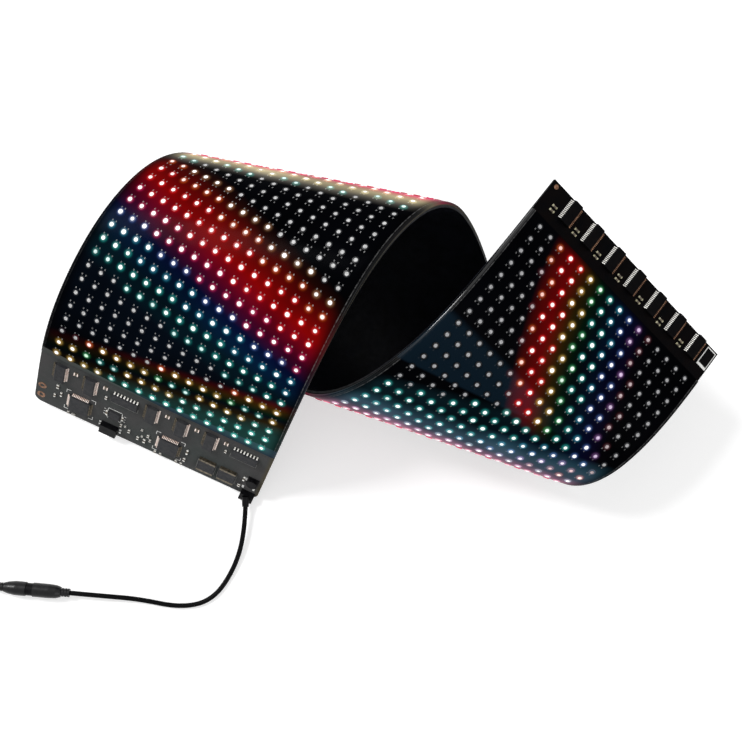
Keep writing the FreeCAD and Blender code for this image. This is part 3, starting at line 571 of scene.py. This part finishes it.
def lamp_finish():
    """Lamps: white-hot in the middle, the field's colour round it, milky where unlit, their foot in the coat's glow."""
    bench = Bench("lamp_dot")
    column, row = columns_and_rows(bench)
    colour, heat = lamp_picture(bench, column, row)
    reach = bench.node("ShaderNodeSeparateXYZ", {0: bench.chart("dot")}).outputs[0]
    chance = bench.node("ShaderNodeTexWhiteNoise", {0: bench.chart("strip")}, noise_dimensions="3D").outputs["Value"]
    hot = bench.sum("MULTIPLY_ADD", chance, 0.28, 0.20)
    cooling = bench.sum("MULTIPLY", bench.sum("SUBTRACT", reach, hot), 2.6, clamp=True)
    core = bench.sum("SUBTRACT", 1.0, cooling, clamp=True)
    whiteness = bench.sum("MULTIPLY", bench.sum("POWER", core, 0.7), bench.spread(heat, 0.45, 0.85, 0.15, 1.0))
    burning = bench.mix(whiteness, colour, (1.0, 0.99, 0.96, 1))
    power = bench.sum("MULTIPLY", bench.spread(core, 0, 1, 0.24, 1.5), bench.spread(heat, 0.0, 0.9, 0.0, 1.0))
    light = bench.node("ShaderNodeVectorMath", {0: burning, 3: power}, operation="SCALE")
    glow = lamp_picture(bench, column, row, soft=True)[0]
    at_foot = bench.spread(reach, 0.50, 0.80, 0.0, 1.0)
    foot = bench.node("ShaderNodeVectorMath", {0: glow, 3: at_foot}, operation="SCALE")
    shine = bench.node("ShaderNodeVectorMath", {0: light.outputs[0], 1: foot.outputs[0]}, operation="ADD")
    bench.feed(shine.outputs[0], bench.shader.inputs["Emission Color"])
    bench.shader.inputs["Emission Strength"].default_value = 1.0
    speck = bench.noise(2600.0, 2.0)
    milky = bench.mix(bench.spread(speck, 0.35, 0.65, 0, 1), grey(0.32), grey(0.62))
    milky = bench.mix(bench.spread(row, 42.0, 45.0, 0.0, 0.25), milky, (0.10, 0.10, 0.13, 1))
    spot = bench.spread(reach, 0.40, 0.70, 1.0, 0.0, smooth=True)
    bench.feed(bench.mix(spot, (0.0015, 0.0018, 0.003, 1), milky), bench.shader.inputs["Base Color"])
    bench.feed(bench.spread(speck, 0.3, 0.7, 0.2, 0.35), bench.shader.inputs["Roughness"])
    bench.shader.inputs["Specular IOR Level"].default_value = 0.1
    return bench.material


def plastic_finish(name, dark, light, scale, low_gloss, high_gloss, specular, depth):
    """Moulded, foamed or printed matter, mottled between two tones, with a fine grain of the given depth."""
    bench = Bench(name)
    mottle = bench.noise(scale, 4.0)
    bench.feed(bench.mix(bench.spread(mottle, 0.35, 0.65, 0, 1), dark, light), bench.shader.inputs["Base Color"])
    wear = bench.spread(bench.noise(scale * 2.3, 3.0), 0.3, 0.7, low_gloss, high_gloss)
    bench.feed(wear, bench.shader.inputs["Roughness"])
    bench.shader.inputs["Specular IOR Level"].default_value = specular
    bench.bump(bench.noise(scale * 4, 3.0), 0.25, depth)
    return bench.material


def metal_finish(name, dark, light, scale, low_gloss, high_gloss):
    """Metal with patches of tarnish between two tones."""
    bench = Bench(name)
    tarnish = bench.noise(scale, 5.0, 0.6)
    bench.feed(bench.mix(bench.spread(tarnish, 0.35, 0.65, 0, 1), dark, light), bench.shader.inputs["Base Color"])
    wear = bench.spread(bench.noise(scale * 1.7, 3.0), 0.3, 0.7, low_gloss, high_gloss)
    bench.feed(wear, bench.shader.inputs["Roughness"])
    bench.shader.inputs["Metallic"].default_value = 1.0
    bench.bump(bench.noise(scale * 3, 2.0), 0.2, 0.00005)
    return bench.material


def board_finish():
    """Circuit board: matt grey lacquer at the control end, black at the driver end, faint traces under it."""
    bench = Bench("board_lacquer")
    column, row = columns_and_rows(bench)
    driver_end = bench.sum("GREATER_THAN", row, 30.0)
    mottle = bench.noise(260.0, 4.0)
    tint = bench.noise(60.0, 2.0)
    lacquer = bench.mix(bench.spread(tint, 0.35, 0.65, 0, 1), (0.054, 0.061, 0.060, 1), (0.069, 0.065, 0.067, 1))
    lacquer = bench.mix(bench.spread(mottle, 0.3, 0.7, 0.0, 0.35), lacquer, (0.044, 0.048, 0.046, 1))
    traces = bench.node("ShaderNodeTexBrick", {
        "Vector": bench.chart("strip"), "Color1": grey(0), "Color2": grey(0.15), "Mortar": grey(1), "Scale": 1.7,
        "Mortar Size": 0.012, "Brick Width": 0.9, "Row Height": 0.23})
    lacquer = bench.mix(bench.sum("MULTIPLY", traces.outputs[0], 0.25), lacquer, (0.085, 0.080, 0.070, 1))
    near_terminal = bench.spread(column, 15.75, 16.1, 0.0, 1.0)
    lacquer = bench.mix(bench.sum("MULTIPLY", near_terminal, 0.45), lacquer, (0.09, 0.065, 0.012, 1))
    black = bench.mix(bench.spread(mottle, 0.3, 0.7, 0, 1), (0.0008, 0.0008, 0.0012, 1), (0.0022, 0.0014, 0.0014, 1))
    bench.feed(bench.mix(driver_end, lacquer, black), bench.shader.inputs["Base Color"])
    bench.feed(bench.spread(mottle, 0.3, 0.7, 0.42, 0.60), bench.shader.inputs["Roughness"])
    bench.shader.inputs["Specular IOR Level"].default_value = 0.02
    bench.bump(bench.sum("ADD", traces.outputs[0], bench.sum("MULTIPLY", mottle, 0.5)), 0.3, 0.00006)
    return bench.material


coat_finish = lamp_coat_finish()
dot_finish = lamp_finish()
lacquer = board_finish()
backing_finish = plastic_finish(
    "backing_foam", (0.0022, 0.0024, 0.0035, 1), (0.0055, 0.006, 0.009, 1), 220.0, 0.42, 0.60, 0.10, 0.00012)
chip_finish = plastic_finish(
    "chip_moulding", (0.022, 0.023, 0.026, 1), (0.034, 0.034, 0.036, 1), 700.0, 0.45, 0.62, 0.12, 0.00004)
driver_chip_finish = plastic_finish(
    "driver_chip_moulding", (0.0008, 0.0008, 0.0012, 1), (0.0022, 0.0018, 0.002, 1), 700.0, 0.45, 0.62, 0.03, 0.00004)
shell_finish = plastic_finish(
    "terminal_moulding", (0.0015, 0.0015, 0.002, 1), (0.005, 0.005, 0.006, 1), 500.0, 0.30, 0.45, 0.08, 0.00006)
cord_finish = plastic_finish(
    "cord_jacket", (0.0010, 0.0010, 0.0012, 1), (0.0024, 0.0024, 0.0028, 1), 650.0, 0.35, 0.5, 0.05, 0.00005)
plug_finish = plastic_finish(
    "plug_moulding", (0.0014, 0.0014, 0.0018, 1), (0.004, 0.004, 0.005, 1), 400.0, 0.26, 0.40, 0.26, 0.00006)
dark_part_finish = plastic_finish(
    "dark_ceramic", (0.05, 0.042, 0.030, 1), (0.14, 0.11, 0.075, 1), 800.0, 0.35, 0.50, 0.4, 0.00004)
print_finish = plastic_finish(
    "white_print", (0.62, 0.62, 0.60, 1), (0.85, 0.85, 0.83, 1), 1200.0, 0.45, 0.60, 0.3, 0.00002)
tongue_finish = plastic_finish(
    "contact_block", (0.70, 0.70, 0.68, 1), (0.82, 0.82, 0.80, 1), 500.0, 0.40, 0.55, 0.4, 0.00003)
# the dark solder and the dark copper also serve as painted shade on the pin rows that face away from the light
bright_solder = metal_finish("bright_solder", (0.80, 0.62, 0.54, 1), (0.95, 0.86, 0.80, 1), 1500.0, 0.25, 0.42)
dull_and_shaded_solder = metal_finish("dull_and_shaded_solder", (0.07, 0.065, 0.05, 1), (0.22, 0.18, 0.13, 1), 1300.0, 0.38, 0.55)
copper_and_shaded_pin_finish = metal_finish("copper_and_shaded_pins", (0.10, 0.05, 0.03, 1), (0.34, 0.19, 0.12, 1), 1300.0, 0.35, 0.50)
pale_solder = metal_finish("pale_solder", (0.74, 0.72, 0.68, 1), (0.95, 0.94, 0.90, 1), 1500.0, 0.30, 0.45)
cream_finish = plastic_finish(
    "cream_cap", (0.22, 0.20, 0.11, 1), (0.52, 0.49, 0.34, 1), 900.0, 0.35, 0.50, 0.4, 0.00004)
faint_print_finish = plastic_finish(
    "faint_print", (0.09, 0.09, 0.088, 1), (0.20, 0.20, 0.19, 1), 1200.0, 0.45, 0.60, 0.2, 0.00002)
steel_finish = metal_finish("pressed_steel", (0.30, 0.30, 0.30, 1), (0.50, 0.50, 0.49, 1), 600.0, 0.22, 0.36)


# ---- Strip ----

def board():
    flat_sheet(STRIP_START, STRIP_END, BACKING_FACE, BOARD_FACE, 0, True)
    piece = into_piece("board", "circuit_grey", lacquer, "flex_circuit")
    chart_and_wind(piece)
    return piece


def backing():
    flat_sheet(STRIP_START, STRIP_END, BACK, BACKING_FACE, 0, True)
    piece = into_piece("backing", "pad_black", backing_finish, "control_backing_pad", "driver_backing_pad")
    chart_and_wind(piece)
    return piece


def lamp_coat():
    flat_sheet(COAT_START, COAT_END, BOARD_FACE, 0, COAT_ROUND, False)
    piece = into_piece("lamp_coat", "coat_black", coat_finish, "control_face_coat", "driver_face_coat")
    chart_and_wind(piece)
    return piece


def lamp_dots():
    """One low dome, turned and stepped, then one copy of it on every lamp place."""
    bpy.ops.mesh.primitive_cylinder_add(vertices=12, radius=LENS_RADIUS, depth=0.0003, location=(0, 0, 0.0001))
    bpy.ops.object.transform_apply(location=True, rotation=True, scale=True)
    bpy.ops.object.mode_set(mode="EDIT")
    select_faces(lambda way: way.z > 0.9)
    bpy.ops.mesh.inset(thickness=0.00035)
    bpy.ops.transform.translate(value=(0, 0, 0.00004))
    bpy.ops.mesh.inset(thickness=0.0004)
    bpy.ops.transform.translate(value=(0, 0, 0.00001))
    bpy.ops.object.mode_set(mode="OBJECT")
    first = bpy.context.object
    shape = [vertex.co.copy() for vertex in first.data.vertices]
    faces = [list(face.vertices) for face in first.data.polygons]
    bpy.data.objects.remove(first)
    points, panels, charts, dots = [], [], [], []
    for row in range(ROWS):
        for column in range(COLUMNS):
            base = len(points)
            for corner in shape:
                points.append(wound((column - MIDDLE_COLUMN) * PITCH + corner.x, row * PITCH + corner.y, corner.z))
            for face in faces:
                panels.append([base + index for index in face])
                for index in face:
                    charts.append((column, row))
                    dots.append((min(1.0, math.hypot(shape[index].x, shape[index].y) / LENS_RADIUS), 0.0))
    made = bpy.data.meshes.new("lamps")
    made.from_pydata(points, [], panels)
    chart = made.uv_layers.new(name="strip")
    dot = made.uv_layers.new(name="dot")
    for index, (place, reach) in enumerate(zip(charts, dots)):
        chart.data[index].uv = place
        dot.data[index].uv = reach
    made.update()
    piece = bpy.data.objects.new("lamps", made)
    bpy.context.scene.collection.objects.link(piece)
    bpy.context.view_layer.objects.active = piece
    piece.select_set(True)
    into_piece("lamps", "lens_clear", dot_finish, "lamp_lenses")
    return piece


for sheet in (board(), backing(), lamp_coat(), lamp_dots()):
    bpy.context.view_layer.objects.active = sheet
    sheet.select_set(True)
    bpy.ops.object.shade_smooth_by_angle(angle=math.radians(35))
    sheet.select_set(False)


# ---- Pins, small parts and printed lines ----

def take_shape(ends=None):
    """Corners, faces and face finishes of the active object, which is then put away."""
    piece = bpy.context.object
    bpy.ops.object.mode_set(mode="OBJECT")
    corners = [vertex.co.copy() for vertex in piece.data.vertices]
    faces = [list(face.vertices) for face in piece.data.polygons]
    kinds = [1 if ends and abs(face.center.y) > ends else 0 for face in piece.data.polygons]
    bpy.data.objects.remove(piece)
    return corners, faces, kinds


def bent_pin(width, body_half, span_half):
    """A bent pin: out of the body's side, down, and flat on the board. x outward, z from the board."""
    bpy.ops.mesh.primitive_cube_add(size=1, location=(body_half + 0.0001, 0, 0.00075))
    bpy.context.object.scale = (0.0003, width, 0.0002)
    bpy.ops.object.transform_apply(location=True, rotation=True, scale=True)
    bpy.ops.object.mode_set(mode="EDIT")
    select_faces(lambda way: way.x > 0.9)
    for move in ((0.0002, 0, -0.00028), (0.0001, 0, -0.00035), (span_half - body_half - 0.00055, 0, 0)):
        bpy.ops.mesh.extrude_region_move(TRANSFORM_OT_translate={"value": move})
    return take_shape()


def small_part_shape():
    """A chip part one unit long, wide and high, with a metal cap over each end."""
    bpy.ops.mesh.primitive_cube_add(size=1, location=(0, 0, 0.5))
    bpy.ops.object.transform_apply(location=True, rotation=True, scale=True)
    bpy.ops.object.mode_set(mode="EDIT")
    bpy.ops.mesh.bevel(offset=0.07, segments=1, affect="EDGES")
    for place in (-0.27, 0.27):
        bpy.ops.mesh.select_all(action="SELECT")
        bpy.ops.mesh.bisect(plane_co=(0, place, 0), plane_no=(0, 1, 0))
    mesh = bmesh.from_edit_mesh(bpy.context.object.data)
    for vertex in mesh.verts:
        if abs(vertex.co.y) < 0.28:
            vertex.co.x *= 0.94
            vertex.co.z *= 0.94
    bmesh.update_edit_mesh(bpy.context.object.data)
    return take_shape(ends=0.28)


def line_shape():
    """A printed line one unit long and wide: a thin plate whose upper edges are eased."""
    bpy.ops.mesh.primitive_cube_add(size=1, location=(0, 0, 0.5))
    bpy.ops.object.transform_apply(location=True, rotation=True, scale=True)
    bpy.ops.object.mode_set(mode="EDIT")
    select_faces(lambda way: way.z > 0.9)
    bpy.ops.mesh.inset(thickness=0.06)
    bpy.ops.transform.translate(value=(0, 0, 0.1))
    return take_shape()


def set_out(name, slot, finishes, shape, places, *nodes):
    """One piece made of copies of a shape. Place: (across, along, quarter turns, sideways shift, size x, y, z)."""
    corners, faces, kinds = shape
    points, panels, marks = [], [], []
    for across, along, turns, shift, size_x, size_y, size_z in places:
        base = len(points)
        turned = Matrix.Rotation(math.radians(90 * turns), 2)
        for corner in corners:
            flat = turned @ Vector((corner.x * size_x, corner.y * size_y + shift))
            points.append(wound(across + flat.x, along + flat.y, BOARD_FACE + corner.z * size_z))
        panels += [[base + index for index in face] for face in faces]
        marks += kinds
    made = bpy.data.meshes.new(name)
    made.from_pydata(points, [], panels)
    made.update()
    piece = bpy.data.objects.new(name, made)
    bpy.context.scene.collection.objects.link(piece)
    bpy.context.view_layer.objects.active = piece
    piece.select_set(True)
    into_piece(name, slot, finishes[0], *nodes)
    for finish in finishes[1:]:
        piece.data.materials.append(finish)
    for face, mark in zip(piece.data.polygons, marks):
        face.material_index = mark
    return piece


def pin_places(chips, turns, row):
    """Places of one row of pins on each chip, on one of its four sides."""
    count, pitch = row
    return [(across, along, turns, (number - (count - 1) / 2) * pitch, 1, 1, 1)
            for across, along in chips for number in range(count)]


def chip_pins():
    """Rows of bent pins with painted light: a bright solder on the sides that face the light, and on the others a dark
    finish that is painted shade.
    """
    narrow = bent_pin(0.00034, 0.00195, 0.0030)
    wide = bent_pin(0.00050, 0.00195, 0.0030)
    long_pin = bent_pin(0.00036, 0.00390, 0.0050)
    set_out("driver_near_pins", "solder_bright", [pale_solder], narrow, pin_places(DRIVERS, 2, NARROW_ROW),
            "column_driver_near_leads")
    set_out("driver_far_pins", "solder_dull", [copper_and_shaded_pin_finish], narrow, pin_places(DRIVERS, 0, NARROW_ROW),
            "column_driver_far_leads")
    set_out("row_chip_left_pins", "solder_dull", [dull_and_shaded_solder], narrow, pin_places(ROW_CHIPS, 2, NARROW_ROW),
            "row_driver_leads")
    set_out("row_chip_right_pins", "solder_bright", [bright_solder], narrow, pin_places(ROW_CHIPS, 0, NARROW_ROW),
            "row_driver_leads")
    set_out("decoder_upper_pins", "solder_bright", [pale_solder], wide, pin_places(DECODERS, 1, WIDE_ROW),
            "line_decoder_leads")
    set_out("decoder_lower_pins", "solder_dull", [dull_and_shaded_solder], wide, pin_places(DECODERS, 3, WIDE_ROW),
            "line_decoder_leads")
    set_out("processor_bright_pins", "solder_bright", [bright_solder], long_pin,
            pin_places(PROCESSORS, 1, PROCESSOR_ROW) + pin_places(PROCESSORS, 2, PROCESSOR_ROW), "processor_leads")
    set_out("processor_shaded_pins", "solder_dull", [dull_and_shaded_solder], long_pin,
            pin_places(PROCESSORS, 0, PROCESSOR_ROW) + pin_places(PROCESSORS, 3, PROCESSOR_ROW), "processor_leads")


def small_parts():
    """Chip capacitors and resistors."""
    part = small_part_shape()
    high = 0.00055
    # (across, along, width, length), millimetres
    capacitors = (
        (-37.3, -19.0, 1.0, 2.2), (-38.0, -24.7, 0.8, 1.8), (-19.0, -12.7, 0.9, 1.7), (28.3, -12.0, 0.8, 1.6),
        (-11.3, -24.7, 0.9, 1.7), (-7.8, -26.0, 0.9, 1.8), (-4.0, -27.6, 0.9, 2.0), (-1.4, -27.6, 1.0, 2.2),
        (15.0, -27.8, 0.9, 2.0), (3.6, -31.2, 0.9, 1.6), (5.8, -31.2, 0.9, 1.6), (12.2, -31.2, 0.9, 1.6),
        (14.3, -31.2, 0.9, 1.6), (-31.8, -31.2, 0.9, 1.4), (37.5, -28.0, 1.2, 1.6))
    resistors = (
        (-35.6, -22.6, 0.8, 2.4), (-9.6, -24.2, 0.8, 0.9), (-2.6, -25.5, 0.8, 0.9), (-3.2, -21.8, 0.9, 0.9),
        (-0.4, -23.8, 1.0, 1.6), (0.7, -25.9, 0.8, 1.5), (15.2, -22.6, 0.8, 2.8), (-17.6, -20.9, 0.7, 2.8),
        (-11.3, -20.6, 0.7, 2.2), (38.4, -22.8, 0.8, 2.6), (-29.7, -31.3, 1.5, 0.8))
    for name, table, node in (("capacitors", capacitors, "chip_capacitors"),
                              ("resistors", resistors, "chip_resistors")):
        set_out(name, "part_dark", [dark_part_finish, pale_solder], part,
                [(across / 1000, along / 1000, 0, 0, wide / 1000, long / 1000, high)
                 for across, along, wide, long in table], node)
    set_out("bypass_parts", "part_white", [dark_part_finish, bright_solder], part,
            [(across / 1000, -0.0076, 1, 0, 0.0017, 0.0016, high) for across in (-31.5, -19.9, 4.4, 16.0, 27.6)],
            "bypass_capacitors")
    set_out("driver_capacitors", "part_white", [dark_part_finish, cream_finish], part,
            [(across - 0.0061, along - back, 1, 0, 0.0007, 0.0021, high)
             for across, along in DRIVERS for back in (0.0024, 0.0041)], "column_capacitors")


def printed_lines():
    """White lines printed on the board: corner brackets, outlines and the pads beside the socket and the drum."""
    line = line_shape()
    thin, high = 0.00022, 0.00005
    outline, arm = 0.0057, 0.0018
    bars = []
    for across, along in PROCESSORS:
        for side in (-1, 1):
            for end in (-1, 1):
                corner_x, corner_y = across + side * outline, along + end * outline
                bars.append((corner_x - side * 0.0008, corner_y, arm, thin))
                bars.append((corner_x, corner_y - end * 0.0008, thin, arm))
    across, along = WIRELESS_CHIP
    for side in (-1, 1):
        bars.append((across + side * 0.0028, along, thin, 0.0052))
        bars.append((across, along + side * 0.0028, 0.0052, thin))
        for offset in (0, 0.0015, -0.0015):
            bars.append((across + side * 0.0040, along + offset, 0.0007, thin))
        for back in (0.0283, 0.0299):
            bars.append((-0.0152 + side * 0.0041, -back, 0.0008, 0.0009))
    for across, along in ((0.0392, -0.0228), (0.0391, -0.0280), (0.0433, -0.0272)):
        bars.append((across, along, 0.0008, 0.0016))
    pads = [(across, along, 0, 0, wide, long, high) for across, along, wide, long in bars]
    set_out("board_print", "print_white", [print_finish], line, pads)
    faint = []
    for across, _ in DECODERS:
        faint += [(across, -0.0140, 0.0104, thin),
                  (across - 0.0052, -0.0129, thin, 0.0022), (across + 0.0052, -0.0129, thin, 0.0022)]
    for across, _ in ROW_CHIPS:
        faint += [(across, -0.0152, 0.0042, thin)]
    for across in (0.0236, 0.0320):
        faint += [(across, -0.0292, 0.0070, thin),
                  (across - 0.0036, -0.0264, thin, 0.0056), (across + 0.0036, -0.0264, thin, 0.0056)]
    set_out("faint_print", "print_white", [faint_print_finish], line,
            [(across, along, 0, 0, wide, long, high) for across, along, wide, long in faint])
    # the bare dark field on the square patch, which leaves the patch's white border
    corners, faces, kinds = line
    on_patch = [corner + Vector((0, 0, 0.00015 / high)) for corner in corners]
    set_out("patch_field", "coat_black", [driver_chip_finish], (on_patch, faces, kinds),
            [(0.0427, 0.3457, 0, 0, 0.0039, 0.0062, high)])


chip_pins()
small_parts()
printed_lines()


# ---- Parts that keep their solids ----

FINISHES = {
    "column_driver_chips": driver_chip_finish, "row_driver_chips": chip_finish, "line_decoder_chips": chip_finish,
    "processor_chips": chip_finish, "wireless_chip": chip_finish, "data_socket_shell": shell_finish,
    "data_socket_tongue": shell_finish, "power_choke_bodies": chip_finish, "power_choke_terminals": dull_and_shaded_solder,
    "drum_inductor": shell_finish, "ring_pads": copper_and_shaded_pin_finish, "fiducial_dot": copper_and_shaded_pin_finish, "blank_tag": print_finish,
    "corner_terminal": shell_finish, "coupler_socket_half": plug_finish, "coupler_ring": shell_finish,
    "coupler_plug_half": plug_finish, "plug_boot": plug_finish, "plug_body": plug_finish,
    "plug_shell": steel_finish, "plug_tongue": tongue_finish,
}
for node, finish in FINISHES.items():
    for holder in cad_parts[node].material_slots:
        holder.material = finish
for cord in (near_cord, far_cord):
    cord.data.materials.append(cord_finish)


# ---- Floor and light ----

def floor():
    bpy.ops.mesh.primitive_plane_add(size=6.0, location=(0, 0, -0.00005))
    ground = bpy.context.object
    ground.name = "floor"
    bench = Bench("white_floor")
    ray = bench.node("ShaderNodeLightPath")
    seen = bench.sum("MAXIMUM", ray.outputs["Is Camera Ray"], bench.sum(
        "MAXIMUM", ray.outputs["Is Glossy Ray"], ray.outputs["Is Transmission Ray"]))
    bench.shader.inputs["Base Color"].default_value = grey(0.8)
    bench.shader.inputs["Roughness"].default_value = 0.9
    bench.shader.inputs["Specular IOR Level"].default_value = 0.0
    bench.shader.inputs["Emission Color"].default_value = grey(1.0)
    bench.feed(bench.sum("MULTIPLY", seen, 0.42), bench.shader.inputs["Emission Strength"])
    ground.data.materials.append(bench.material)
    ground.select_set(False)


def soft_lamp(name, place, target, size, power):
    light = bpy.data.lights.new(name, "AREA")
    light.shape = "DISK"
    light.size = size
    light.energy = power
    lamp = bpy.data.objects.new(name, light)
    lamp.location = place
    lamp.rotation_euler = (Vector(target) - Vector(place)).to_track_quat("-Z", "Y").to_euler()
    bpy.context.scene.collection.objects.link(lamp)


def studio():
    world = bpy.data.worlds.new("studio")
    bpy.context.scene.world = world
    world.use_nodes = True
    tree = world.node_tree
    plain = tree.nodes["Background"]
    plain.inputs["Color"].default_value = grey(1.0)
    plain.inputs["Strength"].default_value = 0.5
    white = tree.nodes.new("ShaderNodeBackground")
    white.inputs["Color"].default_value = grey(1.0)
    white.inputs["Strength"].default_value = 1.0
    ray = tree.nodes.new("ShaderNodeLightPath")
    either = tree.nodes.new("ShaderNodeMath")
    either.operation = "MAXIMUM"
    tree.links.new(ray.outputs["Is Camera Ray"], either.inputs[0])
    tree.links.new(ray.outputs["Is Glossy Ray"], either.inputs[1])
    any_seen = tree.nodes.new("ShaderNodeMath")
    any_seen.operation = "MAXIMUM"
    tree.links.new(either.outputs[0], any_seen.inputs[0])
    tree.links.new(ray.outputs["Is Transmission Ray"], any_seen.inputs[1])
    chosen = tree.nodes.new("ShaderNodeMixShader")
    tree.links.new(any_seen.outputs[0], chosen.inputs[0])
    tree.links.new(plain.outputs[0], chosen.inputs[1])
    tree.links.new(white.outputs[0], chosen.inputs[2])
    tree.links.new(chosen.outputs[0], tree.nodes["World Output"].inputs["Surface"])
    soft_lamp("key", (-1.25, 0.95, 1.55), (0, 0, 0.02), 0.7, 38.0)
    soft_lamp("fill", (1.0, -1.3, 1.6), (0, 0, 0.03), 1.2, 10.0)
    bpy.context.scene.view_settings.view_transform = "Standard"


floor()
studio()
